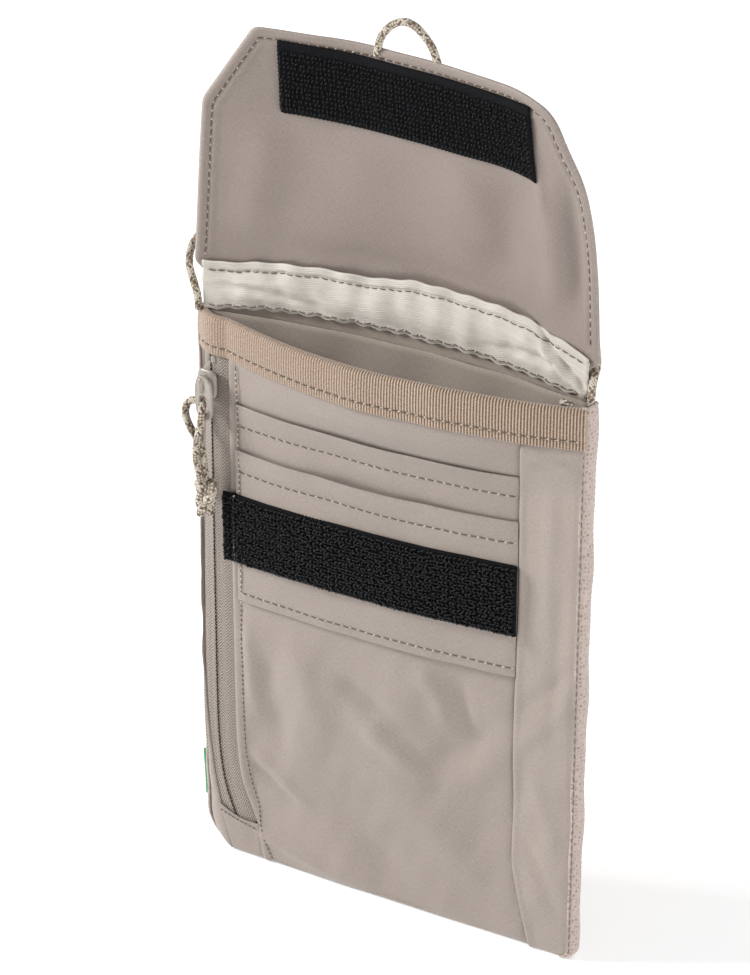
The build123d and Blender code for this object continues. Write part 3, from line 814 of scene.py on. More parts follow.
def cut_cloth(name, outline, surface, step, thick, materials):
    """Cloth cut to a closed outline of (x, z) points. surface(x, z) gives its front face."""
    outline = np.asarray(outline, float)
    lo, hi = outline.min(0) - step, outline.max(0) + step
    xs, zs = np.arange(lo[0], hi[0] + step, step), np.arange(lo[1], hi[1] + step, step)
    mx, mz = np.meshgrid((xs[:-1] + xs[1:]) / 2, (zs[:-1] + zs[1:]) / 2)
    kept = inside(outline, mx, mz)
    gx, gz = np.meshgrid(xs, zs)
    count = np.zeros(gx.shape, int)
    for di in (0, 1):
        for dj in (0, 1):
            count[di:kept.shape[0] + di, dj:kept.shape[1] + dj] += kept
    used, edge = count > 0, (count > 0) & (count < 4)
    ex, ez, _, _ = nearest(outline, gx[edge], gz[edge])
    gx[edge], gz[edge] = ex, ez
    index = -np.ones(gx.shape, int)
    index[used] = np.arange(used.sum())
    x, z = gx[used], gz[used]
    top = surface(x, z)
    normal = broad_normal(surface, x, z)
    if normal[:, 1].mean() > 0:
        normal = -normal
    total = len(x)
    back = top - normal * thick
    faces, sides = [], []
    for i, j in zip(*np.nonzero(kept)):
        quad = (index[i, j], index[i, j + 1], index[i + 1, j + 1], index[i + 1, j])
        faces.append(quad)
        for a, b, (ni, nj) in ((0, 1, (i - 1, j)), (1, 2, (i, j + 1)), (2, 3, (i + 1, j)),
                               (3, 0, (i, j - 1))):
            if not kept[ni, nj]:
                sides.append((quad[a], quad[b]))
    rim_of, rim_points, rim_flats = {}, [], []
    away = np.zeros((total, 2))
    for a, b in sides:
        d = unit(np.array([z[b] - z[a], -(x[b] - x[a])]))
        away[a] += d
        away[b] += d
    for a, _ in sides:
        if a not in rim_of:
            rim_of[a] = 2 * total + len(rim_points)
            d = unit(away[a])
            reach = unit(surface(x[a] + d[0] * 0.2, z[a] + d[1] * 0.2) - top[a])
            rim_points.append((top[a] + back[a]) / 2 + reach * thick / 2)
            rim_flats.append((x[a], z[a]))
    front_count = len(faces)
    faces += [tuple(v + total for v in reversed(q)) for q in faces]
    for a, b in sides:
        if b in rim_of:
            faces += [(b, a, rim_of[a], rim_of[b]), (rim_of[b], rim_of[a], a + total, b + total)]
    points = np.concatenate([top, back, np.array(rim_points)])
    flats = np.concatenate([points_of(x, z)] * 2 + [np.array(rim_flats)])
    obj = link_mesh(name, points, [tuple(int(v) for v in f) for f in faces], materials[0], flats)
    if len(materials) > 1:
        obj.data.materials.append(materials[1])
        slots = np.zeros(len(faces), np.int32)
        slots[front_count:] = 1
        obj.data.polygons.foreach_set("material_index", slots)
    return obj


class Threads:
    """Many small rods of thread gathered in one mesh: dark stitches, and light dots between them."""

    RISE = np.array([-0.1, 0.12, 0.2, 0.2, 0.12, -0.1])      # a stitch's height over the cloth
    GIRTH = np.array([0.6, 0.95, 1.05, 1.05, 0.95, 0.6])     # its thickness along its length

    def __init__(self):
        self.points, self.faces, self.slots, self.total = [], [], [], 0

    def rod(self, path, radii, slot, sides=5):
        """A rod of thread along a path, with its own radius at each point."""
        u, v = frames_along(path)
        angle = np.arange(sides) * 2 * pi / sides
        ring = path[:, None] + radii[:, None, None] * (
            np.cos(angle)[None, :, None] * u[:, None] + np.sin(angle)[None, :, None] * v[:, None])
        base = self.total
        self.points.append(ring.reshape(-1, 3))
        rows = len(path)
        for i in range(rows - 1):
            for k in range(sides):
                n = (k + 1) % sides
                a, b = base + i * sides, base + (i + 1) * sides
                self.faces.append((a + k, a + n, b + n, b + k))
        self.faces.append(tuple(base + k for k in reversed(range(sides))))
        self.faces.append(tuple(base + (rows - 1) * sides + k for k in range(sides)))
        self.slots += [slot] * ((rows - 1) * sides + 2)
        self.total += rows * sides

    def stitches(self, path, out, pitch=STITCH, radius=0.16, dots=True):
        """Running stitches: a thread lies along the cloth, and dips in beside a light dot."""
        path, at = resample(path, 0.2)
        rng = np.random.default_rng(int(abs(path[0].sum()) * 100) % 9973)
        out = np.asarray(out, float)
        count = max(1, round(at[-1] / pitch))
        pitch = at[-1] / count
        for k in range(count):
            s0 = (k + 0.1 + rng.uniform(-0.03, 0.03)) * pitch
            s1 = (k + 0.84 + rng.uniform(-0.03, 0.03)) * pitch
            line = points_at(path, at, np.linspace(s0, s1, len(self.RISE)))
            side = np.cross(unit(line[-1] - line[0]), out) * rng.uniform(-0.12, 0.12)
            self.rod(line + out * self.RISE[:, None] + side * np.linspace(-1, 1, 6)[:, None],
                     radius * self.GIRTH, 0)
            if dots:
                spot = points_at(path, at, (k + 0.97) * pitch)
                lean = unit(line[-1] - line[0]) * 0.22 + side * 3
                rise = np.array([[0.02], [0.16], [0.02]])
                knot = np.stack([spot - lean, spot, spot + lean]) + out * rise
                self.rod(knot, max(radius, 0.17) * np.array([0.8, 1.4, 0.8]), 1)

    def place(self, name, body, slot, threads=("thread_dark", "thread_light")):
        """All the rods as one piece on a body."""
        obj = link_mesh(name, np.concatenate(self.points), self.faces, mat[threads[0]])
        for extra in threads[1:]:
            obj.data.materials.append(mat[extra])
        obj.data.polygons.foreach_set("material_index", np.array(self.slots, np.int32))
        return place(obj, body, slot)


def pucker(distance, along, depth, width, pitch=STITCH):
    """Cloth drawn down along a row of stitches, a little more at each stitch."""
    return depth * bell(distance / width) * (0.75 + 0.25 * np.cos(2 * pi * along / pitch))


# --- Front panel and card pockets

ZIP_ROUTE = [(ZIP_X, 167.6), (ZIP_X, 110), (ZIP_X, 52), (-53.8, 38), (-52.8, 27.5), (-50.8, 18.5),
             (-47.2, 9.6)]
zip_line = resample(spline_path([(x, 0.0, z) for x, z in ZIP_ROUTE]), 0.5)[0][:, [0, 2]]
zip_step = unit(np.gradient(zip_line, axis=0))
zip_right = points_of(-zip_step[:, 1], zip_step[:, 0])


def beside_zip(reach, low, high):
    """The line at a distance right of the zip's centre, from its top down."""
    line = zip_line + zip_right * reach
    return line[(line[:, 1] > low) & (line[:, 1] < high)][::2]


def seam_x(z):
    """The right seam leans out where the mouth stands open, and again at the foot."""
    return CARD_RIGHT + 2.2 * ease((z - 138) / 20) + 5.2 * ease((30 - z) / 30)


facing_edge = np.concatenate([beside_zip(6.55, 12.0, 167.4), [(-40.9, 10.0), (-39.9, 5.0), (-39.0, 0.6)]])
panel_outline = np.concatenate([facing_edge, [(seam_x(z) + 0.2, z) for z in span(0.6, 167.4, 4)]])
facing_stitch = np.concatenate([
    beside_zip(9.0, 17.0, 156.5), [(-40.3, 12.0), (-38.6, 7.5), (-36.9, 3.2), (-36.2, 1.2)]])


def panel_face(x, z):
    """The front panel: its folded edge stands up beside the zip and is drawn down by its stitches."""
    _, _, edge, _ = nearest(facing_edge, x, z, closed=False)
    _, _, stitch, along = nearest(facing_stitch, x, z, closed=False)
    fold = 0.55 * bell(np.maximum(edge - 0.9, 0) / 1.3) * np.clip(edge / 0.5, 0.35, 1)
    depth = -0.1 - fold * ease((130 - z) / 60 + 1) + pucker(stitch, along, 0.36, 0.7, 1.3)
    return front(x, z, depth)


panel = cut_cloth("front_panel_cloth", panel_outline, panel_face, 0.9, 0.5, [mat["body"], mat["lining"]])
place(panel, "pouch", "body_fabric", ["front_panel", "zip_facing"])

REAR_HEM_Z = REAR_SLOT_Z - 6.4
FRONT_HEM_Z = FRONT_SLOT_Z - 6.0
FOLD_STITCH_Z = CARD_BOTTOM + 2.2


def card_line(x, z):
    """A line across the card pockets, level at their left edge and bowed down a little."""
    t = (x - CARD_LEFT) / (CARD_RIGHT - CARD_LEFT)
    return z + 0.6 * t - 1.2 * t * (1 - t)


def card_pocket(name, low, high, depth, hem_z, gape, node):
    """A flat pocket with a rolled and stitched upper hem that stands off a little."""
    u, v = np.meshgrid(span(0, 1, 0.6 / (CARD_RIGHT - CARD_LEFT)), span(0, 1, 0.8 / (high - low)))
    level = low + (high - low) * v
    x = CARD_LEFT + u * (seam_x(level) - CARD_LEFT)
    z = card_line(x, level)
    middle = np.clip(1 - ((x - (CARD_LEFT + CARD_RIGHT) / 2) / 43.2) ** 2, 0, 1)
    off = gape * middle * ease((level - high + 11) / 11)
    puff = 0.35 * swell(x, z, int(hem_z), 22, slant=(1, 1.6)) * middle ** 0.5
    hem = -0.22 * (level > hem_z - 0.2) * (1 - bell((level - hem_z) / 1.5))
    draw = pucker(level - hem_z, x, 0.34, 0.85)
    seam = 0.35 * bell((x - CARD_LEFT) / 1.6) + 0.35 * bell((x - seam_x(level)) / 1.2)
    surface = front(x, z, depth - off - puff * 0.5 + hem + draw + seam)
    if node == "card_pocket_front":
        surface[..., 1] += pucker(level - FOLD_STITCH_Z, x, 0.4, 0.9)
        surface[..., 1] -= 0.35 * bell((level - CARD_BOTTOM - 0.7) / 0.7)
    obj = cloth(name, surface, points_of(x, z), 0.45, mat["body"])
    place(obj, "pouch", "body_fabric", [node])
    return surface, level


rear_face, rear_level = card_pocket(
    "card_pocket_rear_cloth", CARD_BOTTOM + 3.5, REAR_SLOT_Z, -0.7, REAR_HEM_Z, 0.5, "card_pocket_rear")
face, face_level = card_pocket(
    "card_pocket_front_cloth", CARD_BOTTOM, FRONT_SLOT_Z, -1.35, FRONT_HEM_Z, 0.8, "card_pocket_front")

thread = Threads()
for surface, level, height in ((rear_face, rear_level, REAR_HEM_Z), (face, face_level, FRONT_HEM_Z),
                               (face, face_level, FOLD_STITCH_Z)):
    row = int(np.argmin(np.abs(level[:, 0] - height)))
    thread.stitches(surface[row][2:-1], OUT_FRONT)
# Beside the zip the stitches climb over the edges of one pocket and then two.
stitch_line = resample(panel_face(facing_stitch[:, 0], facing_stitch[:, 1]), 0.5)[0]
level = stitch_line[:, 2]
climb = ease((level - CARD_BOTTOM) / 1.5) + 0.95 * ease((level - CARD_BOTTOM - 2) / 2) \
    - 0.95 * ease((level - FRONT_SLOT_Z + 0.5) / 1)
stitch_line = stitch_line + climb[:, None] * np.array([0.5, -0.72, 0])
beside_cards = level > 83
thread.stitches(stitch_line[beside_cards], OUT_FRONT, 1.7, 0.14)
thread.stitches(stitch_line[~beside_cards], OUT_FRONT, 1.5, 0.14, False)
thread.place("front_stitches", "pouch", "body_fabric")

# --- Right side panel

u, z = np.meshgrid(span(0, 1, 0.035), span(0.5, 167.3, 0.9))
x = seam_x(z) + 0.1 + u * (np.minimum(58.9, right_out(z) - 0.8) - seam_x(z) - 0.1)
under = ease((z - 155.3) / 2.4)    # its top goes in under the binding
fold = 0.45 * bell((x - seam_x(z) - 0.9) / 1.1) * (1 - under)
stitch = 0.3 * bell((x - 58.0) / 0.7)
tuck = 0.5 * bell((x - seam_x(z)) / 0.35)
surface = front(x, z, -0.75 + 0.8 * under - fold + stitch + tuck)
# The side panel takes the lighter copy of the body cloth: painted light.
side = cloth("side_panel_right_cloth", surface, points_of(x, z), 0.6, mat["side"])
place(side, "pouch", "body_fabric", ["side_panel_right"])

# --- Left side: a strip turned round the seam, wider at the rounded corner

seam_line = np.array([(-50.2, 0.6), (-50.6, 4.0), (-52.0, 9.5), (-53.9, 15.4), (-55.8, 24.0),
                      (-57.3, 34.5), (-58.3, 46), (-59.2, 62), (-59.5, 90), (-59.3, 167.3)])
t, z = np.meshgrid(span(0, 1, 0.06), span(0.5, 167.3, 0.9))
near_x = np.interp(z, seam_line[:, 1], seam_line[:, 0])
far_x = np.minimum(left_out(z) + 0.7, near_x - 0.35)
draw_in = 1.5 * ease((z - 90) / 70)
x = near_x + (far_x + draw_in * 0.4 - near_x) * np.sin(t * pi / 2)
depth = -0.3 + 0.25 * bell(t / 0.12) + 4.0 * (1 - np.cos(t * pi / 2))
depth = depth - 0.25 * swell(x * 2, z, 21, 14) * np.sin(t * pi)
y = front_y(np.maximum(x, -59.0), z) + depth
left = cloth("side_panel_left_cloth", points_of(x, y, z), points_of(x + 3 * t, z), 0.6,
             mat["body"], (-0.7, -0.7, 0))
place(left, "pouch", "body_fabric", ["side_panel_left", "side_seam_left"])

# The zip's lower end is tucked under this small piece.
tuck_edge = np.linspace((-54.0, 15.2), (-41.0, 11.4), 14)
tuck_edge[:, 1] -= np.array([sin(pi * k / 13) for k in range(14)])
tuck_outline = np.concatenate([
    tuck_edge, [(-39.6, 5.0), (-38.8, 0.6), (-49.6, 0.6), (-50.4, 4.0), (-52.0, 9.5)]])


def tuck_face(x, z):
    """The zip end's cover: a folded upper edge, drawn down at its right by the panel's stitches."""
    _, _, edge, _ = nearest(tuck_edge, x, z, closed=False)
    return front(x, z, -0.25 - 0.35 * bell((edge - 0.7) / 0.8) + 0.3 * bell((x + 39.8) / 0.8))


tuck = cut_cloth("zip_end_cover", tuck_outline, tuck_face, 0.6, 0.5, [mat["body"]])
place(tuck, "pouch", "body_fabric")
thread = Threads()
thread.stitches(tuck_face(*np.linspace((-53.3, 13.4), (-41.6, 10.0), 30).T), OUT_FRONT, 1.4, 0.12, False)
thread.place("zip_end_stitches", "pouch", "body_fabric", ["thread_dark"])

# --- Zip


def zip_tape(name, a, b, nodes):
    """One tape, ribbed in herringbone, with the coil's bumps along its inner edge."""
    line, at = resample(lifted(zip_line), 0.2)
    x, z = line[:, 0, None], line[:, 2, None]
    direction = unit(np.gradient(line[:, [0, 2]], axis=0))
    reach, s = np.meshgrid(span(a, b, 0.22), at)
    x, z = x - direction[:, 1, None] * reach, z + direction[:, 0, None] * reach
    inner = np.abs(reach)
    coil = 0.14 * bell((inner - 0.9) / 0.75) * (0.8 + 0.2 * np.cos(2 * pi * s / ZIP_TOOTH))
    groove = 0.03 * bell((inner - 2.1) / 0.25)
    coil = coil - 0.12 * bell(inner / 0.22)
    lean = np.abs((reach / TWILL_BAND) % 2 - 1)
    twill = 0.07 * np.sin(2 * pi * (s + TWILL_LEAN * lean * TWILL_BAND) / TWILL_PITCH)
    surface = front(x, z, 0.45 - coil + groove - twill)
    obj = cloth(name, surface, points_of(reach, s), 0.5, mat["tape"])
    place(obj, "pouch", "zip_tape", nodes)


zip_tape("zip_tape_right_cloth", 0.12, 6.9, ["zip_tape_right", "zip_chain_right"])
zip_tape("zip_tape_left_cloth", -5.7, -0.12, ["zip_tape_left", "zip_chain_left"])
thread = Threads()
thread.stitches(front(*zip_line[20:-6].T, 0.22), OUT_FRONT, ZIP_TOOTH, 0.2, False)
thread.place("zip_stitches", "pouch", "zip_teeth", ["seam_dark"])

# --- Binding round the mouth's front edge

plan_x = span(-58.7, 59.3, 0.5)
plan = points_of(plan_x, front_y(plan_x, 163.0), plan_x * 0)
plan = np.concatenate([[(-59.7, SEAM_Y + 5.9, 0)], plan])
plan, plan_at = resample(plan, 0.19)
for _ in range(12):
    plan[1:-1] = (plan[:-2] + 2 * plan[1:-1] + plan[2:]) / 4
heading = unit(np.gradient(plan, axis=0))
outward = points_of(heading[:, 1], -heading[:, 0], heading[:, 2] * 0)
BINDING_STEP = 0.35
STITCHED_AT = 2.3                           # above the binding's lower edge
section = np.concatenate([
    [(1.0, z) for z in span(BINDING_LOW, 167.0, BINDING_STEP)],
    [(-0.3 + 1.3 * cos(a), 167.1 + 1.35 * sin(a)) for a in np.linspace(0.15, pi - 0.15, 9)],
    [(-1.6, z) for z in span(167.0, BINDING_LOW + 0.4, 0.7)]])
s, row = np.meshgrid(plan_at, np.arange(len(section)))
reach, height = section[row, 0], section[row, 1]
outer = reach > 0.5
rib = 0.09 * (np.abs(np.sin(pi * s / RIB_PITCH)) ** 0.7 - 0.5) * (0.45 + 0.55 * ease((s - 20) / 60))
stitch = outer * pucker(height - BINDING_LOW - STITCHED_AT, s, 0.3, 0.6)
soft = 0.16 * swell(s, height, 31, 17, slant=(1, 0.5)) * outer
lean = np.where(outer, 0.25 * np.sin((height - BINDING_LOW) / 10 * pi), 0)
reach = reach + np.sign(reach + 0.3) * rib + soft - stitch + lean
crown = (height > 167.2) * rib
height = height + crown + 0.25 * np.sin(s / 11) * (reach > -1)
surface = plan[None] + outward[None] * reach[..., None]
surface[..., 2] = height
length_down = run_along(section)
binding = cloth("front_binding_tape", surface, points_of(s, length_down[row]), 0.5, mat["binding"])
place(binding, "pouch", "binding_tape", ["front_binding"])
thread = Threads()
stitch_row = int(round(STITCHED_AT / BINDING_STEP))
thread.stitches(surface[stitch_row][24:-10] + outward[24:-10] * 0.05, OUT_FRONT, STITCH, 0.15)
thread.place("binding_stitches", "pouch", "binding_tape")

# --- Hook-and-loop strips


def pile(name, base, size, seed, kind):
    """Little arches of nylon set in rows on a strip. base(u, v) gives points on its face."""
    rng = np.random.default_rng(seed)
    width, height = size
    # A row's distance from the edges and the next row, an arch's sweep, half width and height, its thread
    if kind == "loop":
        edge, pitch, sweep, half, rise, radius = 0.75, 0.95, pi, (0.42, 0.66), (0.5, 1.0), 0.23
    else:
        edge, pitch, sweep, half, rise, radius = 1.4, 1.3, 1.35 * pi, (0.4, 0.6), (0.7, 1.0), 0.15
    uu, vv = np.meshgrid(np.arange(0.6, width - 0.4, PILE_PITCH),
                         np.arange(edge, height - edge + 0.1, pitch))
    uu = (uu + rng.uniform(-0.28, 0.28, uu.shape)).ravel()
    vv = (vv + rng.uniform(-0.2, 0.2, vv.shape)).ravel()
    count = len(uu)
    zigzag = np.where(np.round(vv / pitch) % 2 > 0.5, 0.55, -0.55) if kind == "loop" else 1.2
    turn = zigzag + rng.uniform(-0.5, 0.5, count) + rng.choice([0, pi], count)
    wide, tall = rng.uniform(*half, count), rng.uniform(*rise, count)
    bend = np.linspace(0, sweep, 7)
    centre = base(uu, vv)
    du = unit(base(uu + 0.1, vv) - centre)
    dv = unit(base(uu, vv + 0.1) - centre)
    n = np.cross(du, dv)
    n = np.where(n[:, 1:2] > 0, -n, n)
    flat_dir = du * np.cos(turn)[:, None] + dv * np.sin(turn)[:, None]
    cross_dir = np.cross(n, flat_dir)
    arc = centre[:, None] + flat_dir[:, None] * (np.cos(bend)[None] * wide[:, None])[..., None] \
        + n[:, None] * (np.sin(bend)[None] * tall[:, None] - 0.05)[..., None]
    tangent = unit(np.gradient(arc, axis=1))
    normal = unit(np.cross(tangent, cross_dir[:, None]))
    rings = [arc + radius * (cos(a) * cross_dir[:, None] + sin(a) * normal)
             for a in np.arange(4) * pi / 2]
    points = np.stack(rings, 2).reshape(-1, 3)
    # Each arch is 7 rings of 4 points, so 6 rows of walls and 2 ends.
    walls = [(i * 4 + k, i * 4 + (k + 1) % 4, i * 4 + (k + 1) % 4 + 4, i * 4 + k + 4)
             for i in range(6) for k in range(4)]
    ends, starts = [(3, 2, 1, 0), (24, 25, 26, 27)], (np.arange(count) * 28)[:, None, None]
    faces = []
    for part in (walls, ends):
        faces += (np.array(part)[None] + starts).reshape(-1, 4).tolist()
    return link_mesh(name, points, faces, mat["pile"])


def strip_base(name, base, size):
    """The woven tape under the pile."""
    u, v = np.meshgrid(span(0, size[0], 0.3), span(0, size[1], 0.3))
    surface = base(u, v)
    surface[..., 1] -= 0.06 * np.sin(2 * pi * u / PILE_PITCH) * np.sin(2 * pi * v / PILE_PITCH)
    return cloth(name, surface, points_of(u, v), 0.9, mat["black"])


LOOP_LEFT = CARD_LEFT - 3.6


def loop_base(u, v):
    """A point on the front strip's face: it stands off the pocket and is sewn down at its edges."""
    x = LOOP_LEFT + u
    t = np.clip((x - CARD_LEFT) / (CARD_RIGHT - CARD_LEFT), 0, 1)
    level = LOOP_TOP - TAPE_H + v
    z = level + 1.2 * t + 0.5 * t * (1 - t)
    stitched = 0.45 * bell((x - CARD_LEFT + 0.2) / 0.7)
    rim = 0.3 * bell(np.minimum(v, TAPE_H - v) / 0.8)
    return front(x, z, -2.3 + stitched + rim)


loop_size = (CARD_RIGHT - LOOP_LEFT + 0.1, TAPE_H)
strip = strip_base("loop_strip_tape", loop_base, loop_size)
place(strip, "pouch", "loop_tape", ["loop_strip"])
place(pile("loop_strip_pile", loop_base, loop_size, 5, "loop"), "pouch", "loop_tape")
thread = Threads()
line = loop_base(np.full(40, CARD_LEFT - LOOP_LEFT - 0.2), np.linspace(0.2, TAPE_H - 0.2, 40))
thread.stitches(line + [0, -0.35, 0], OUT_FRONT, 2.2, 0.17)
thread.place("loop_strip_stitches", "pouch", "loop_tape")

# --- Inside


def wall_grid(wall, half, low, depth, wavy=0.0):
    """A sheet's points along a wall, from low up to the mouth, and its flat coordinates."""
    x, z = np.meshgrid(span(-half, half, 1.6), span(low, 167.9, 1.6))
    x = np.maximum(x, left_out(z) + 1.4 + 0.02 * (x + 60))
    y = wall.y(x, z) + depth + wavy * swell(x, z, 41, 30) * ease((57 - np.abs(x)) / 8)
    return points_of(x, y, z), points_of(x, z)


x, z = np.meshgrid(span(-57.8, 58.0, 1.5), span(2.0, 167.2, 1.5))
x = np.maximum(x, left_out(z) + 1.6 + 0.02 * (x + 58))
deeper = 1.2 * ease((-47.5 - x) / 2.5)
lining = cloth("front_lining", front(x, z, 1.35 + deeper), points_of(x, z), 0.35, mat["lining"])
place(lining, "pouch", "lining", ["zip_pocket_lining"])

surface, flat = wall_grid(DIVIDER, 57.3, 2.8, 3.0, 0.35)
divider = cloth("divider_cloth", surface, flat, 0.4, mat["lining"])
place(divider, "pouch", "lining", ["divider"])

surface, flat = wall_grid(BACK, 59.0, 1.5, 3.6)
back_lining = cloth("back_lining_cloth", surface, flat, 0.4, mat["lining"])
place(back_lining, "pouch", "lining", ["back_lining"])


def band_edges(x):
    """The heights of the webbing's lower and upper edges."""
    rise = np.clip(1 - (np.abs(x) / 58.0) ** 3, 0, 1)
    low = 168.1 + 3.4 * rise + 0.28 * np.sin(x * 2 * pi / 5.2)
    high = 182.4 + 4.2 * rise + 0.2 * np.sin(x * 2 * pi / 9.0)
    low = low + 1.6 * ease((x - 50) / 8)
    high = high - 2.6 * ease((x - 48) / 10) - 1.9 * ease((4 - x) / 16) * ease((60 + x) / 10)
    high = high - 2.1 * bell((x - 46) / 6.5)
    return low, high


BAND_H = 15


def band_y(x, v):
    """The webbing rolls forward at mid height, leans back at its top and is pinched at its ends."""
    low, high = band_edges(x)
    z = low + (high - low) * v
    y = DIVIDER.y(x, z) + 2.9
    pinch = ease((58 - np.abs(x)) / 14)
    y = y + 1.3 * pinch * ease((v - 0.25) / 0.75) - 1.2 * pinch * np.sin(v * pi)
    fold = bell((v - 0.42 - 0.012 * (np.abs(x) - 40)) / 0.1) * ease((np.abs(x) - 18) / 20)
    y = y + 1.1 * fold * pinch - 0.5 * bell((v - 0.62) / 0.1) * ease((np.abs(x) - 24) / 20)
    y = y + 0.3 * swell(x, z, 51, 9, slant=(1, 0.5)) * pinch
    curl = v - 0.96 + 0.05 * (x - 42)
    y = y + (1.5 * bell(curl / 0.09) - 0.9 * bell((curl + 0.2) / 0.1)) \
        * ease((x - 40) / 5) * ease((58 - x) / 3)
    hem = 2.1 / BAND_H
    y = y + 0.35 * bell((v - 1 + hem) / 0.03) - 0.35 * (v > 1 - hem) - 0.2 * (v < 1.5 / BAND_H)
    return y, z


x, v = np.meshgrid(span(-57.2, 57.2, 0.5), span(0, 1, 0.018))
y, z = band_y(x, v)
rib = 0.05 * np.sin(2 * pi * v * BAND_H / 0.75)
band = cloth("divider_band_webbing", points_of(x, y - rib, z), points_of(x, BAND_H * v), 0.8,
             mat["webbing"])
place(band, "pouch", "webbing", ["divider_band"])

# The divider's own edge, up behind the webbing
x, v = np.meshgrid(span(-56.6, 56.6, 1.5), span(0, 1, 0.2))
low, _ = band_edges(x)
z = 167.2 + (low + 1.5 - 167.2) * v
lip = cloth("divider_lip", points_of(x, DIVIDER.y(x, z) + 3.9, z), points_of(x, z), 0.4, mat["lining"])
place(lip, "pouch", "lining")
thread = Threads()
x = span(-56, 56, 0.5)
for v in (1 - 2.5 / BAND_H, 1.3 / BAND_H):
    y, z = band_y(x, np.full(x.shape, v))
    thread.stitches(points_of(x, y - 0.1, z), OUT_FRONT, 2.5, 0.15, v < 0.5)
band_thread = thread.place("divider_band_stitches", "pouch", "webbing")
for piece in (band, lip, band_thread):
    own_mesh(piece)

# --- Back panel: knitted mesh, turned round the right edge

# The sheet's plan: x and depth round the right edge, across the back and round the left edge
turn = [(58.4, -0.55), (59.2, -0.45), (59.9, 0.1), (60.35, 1.0), (60.5, 2.4), (60.45, 4.0), (60.0, 5.2)]
across = [(x, 6.0) for x in span(59.0, -59.4, 0.7)]
left_turn = [(-60.0, 5.5), (-60.1, 4.7), (-59.6, 4.0)]
plan = np.array(turn + across + left_turn)
is_back = np.zeros(len(plan))
is_back[len(turn):-len(left_turn)] = 1
z, bx, depth, flatness, run = np.broadcast_arrays(
    span(0.3, 168.3, 0.45)[:, None], *plan.T, is_back, run_along(plan))
x = bx * np.where(bx > 0, right_out(z) / HALF_W, -left_out(z) / HALF_W)
ends = ease((168.3 - z) / 3) * ease((z + 1.5) / 4)
top_roll = 1.3 * (1 - ends) * flatness
thin = np.interp(z, [0, 168], [0.68, 1.0])
y_back = BACK.y(np.clip(x, -60, 60), z) + (depth - top_roll)
y_edge = SEAM_Y + np.where(depth > 0, depth * thin, depth)
y = np.where(flatness > 0, y_back - (1 - thin) * 1.9, y_edge)
knit = 0.1 * np.sin(2 * pi * run / 1.9) * np.sin(2 * pi * z / 1.7)
surface = points_of(x + knit * (1 - flatness) * (bx > 0), y + knit * flatness, z)
back = cloth("back_panel_mesh", surface, points_of(run, z), 0.9, mat["mesh"], (0, 1, 0))
place(back, "pouch", "back_mesh", ["back_panel", "side_seam_right", "bottom_seam"])
thread = Threads()
edge_line = [(59.0, SEAM_Y - 0.62, z) for z in span(2, 156, 0.5)]
thread.stitches(np.array(edge_line), (0.3, -0.95, 0), 2.4, 0.13, False)
thread.place("edge_stitches", "pouch", "back_mesh", ["thread_dark"])

# A plain seam closes the bottom between the front and the back.
x, v = np.meshgrid(span(-49.5, 57.0, 1.2), span(0, 1, 0.2))
y0, y1 = front_y(x, 1.0) - 0.1, BACK.y(x, 1.0 + 0 * x) + 4.0
low = cloth("bottom_seam_cloth", points_of(x, y0 + (y1 - y0) * v, 0.95 - 0.5 * np.sin(v * pi)),
            points_of(x, 6 * v), 0.5, mat["body"], (0, 0, -1))
place(low, "pouch", "body_fabric")

# The plain label, at the lower end of the left seam
x, z = np.meshgrid(span(-60.5, -57.4, 0.25), span(14.5, 29.0, 0.5))
x = x - 0.5 + 0.4 * ((21.5 - z) / 7.5) ** 2 * (z < 21.5)
y = SEAM_Y + 3.0 + 0.25 * np.sin((z - 14) / 3.2) + 0.5 * ((-57.4 - x) / 3.4) ** 2
label = cloth("side_label_tape", points_of(x, y, z), points_of(x, z), 0.75, mat["label"])
place(label, "pouch", "label", ["side_label"])

# --- Flap

# The flap's outline: x, z and how far back from each corner its rounding starts
FLAP_CORNERS = [
    (57.0, 166.9, 0), (57.0, 177.6, 0.5), (60.1, 179.4, 1.0), (59.5, 206.0, 8.0), (59.2, 216.0, 5.0),
    (57.2, 228.0, 5.0), (47.8, 245.8, 5.0), (37.0, 248.5, 4.0), (0.0, 249.5, 15.0), (-41.2, 249.6, 1.5),
    (-55.3, 228.6, 1.8), (-59.8, 181.5, 1.0), (-57.0, 178.6, 0.5), (-57.0, 166.9, 0)]
HEM_IN = 2.3


def rounded_line(corners):
    """A line through corners, each rounded by its own amount."""
    line = []
    for k, (x, z, cut) in enumerate(corners):
        if cut == 0 or k in (0, len(corners) - 1):
            line.append((x, z))
            continue
        at = np.array([x, z])
        before, after = (np.array(corners[k + d][:2]) for d in (-1, 1))
        start = at + (before - at) * min(0.5, cut / np.linalg.norm(before - at))
        end = at + (after - at) * min(0.5, cut / np.linalg.norm(after - at))
        for t in np.linspace(0, 1, 9):
            line.append(tuple(start * (1 - t) ** 2 + at * 2 * t * (1 - t) + end * t ** 2))
    return np.array(line)


flap_outline = rounded_line(FLAP_CORNERS)
hem_line, _ = resample(lifted(flap_outline), 0.5)
heading = unit(np.gradient(hem_line, axis=0))
hem_line = hem_line + points_of(-heading[:, 2], heading[:, 1], heading[:, 0]) * HEM_IN
hem_line, _ = resample(hem_line[hem_line[:, 2] > 183.5] * (1, 0, 1), 0.5)

FLAP_CREASES = [    # in the same order as the front's
    ((43, 232), (46, 184), 4.5, 1.9, 1.5), ((52, 238), (53.5, 186), 3.6, -1.5, 1.0),
    ((36, 230), (22, 186), 8.0, -1.6, 2.0), ((-36, 230), (-46, 186), 6.0, 1.2, 0.0),
    ((-8, 228), (-20, 184), 9.0, 1.0, -2.0), ((-50, 188), (50, 188), 4.0, -0.6, 1.0),
    ((12, 226), (30, 196), 5.0, 0.8, 1.0), ((41, 240), (45, 214), 1.6, 0.7, 0.0)]


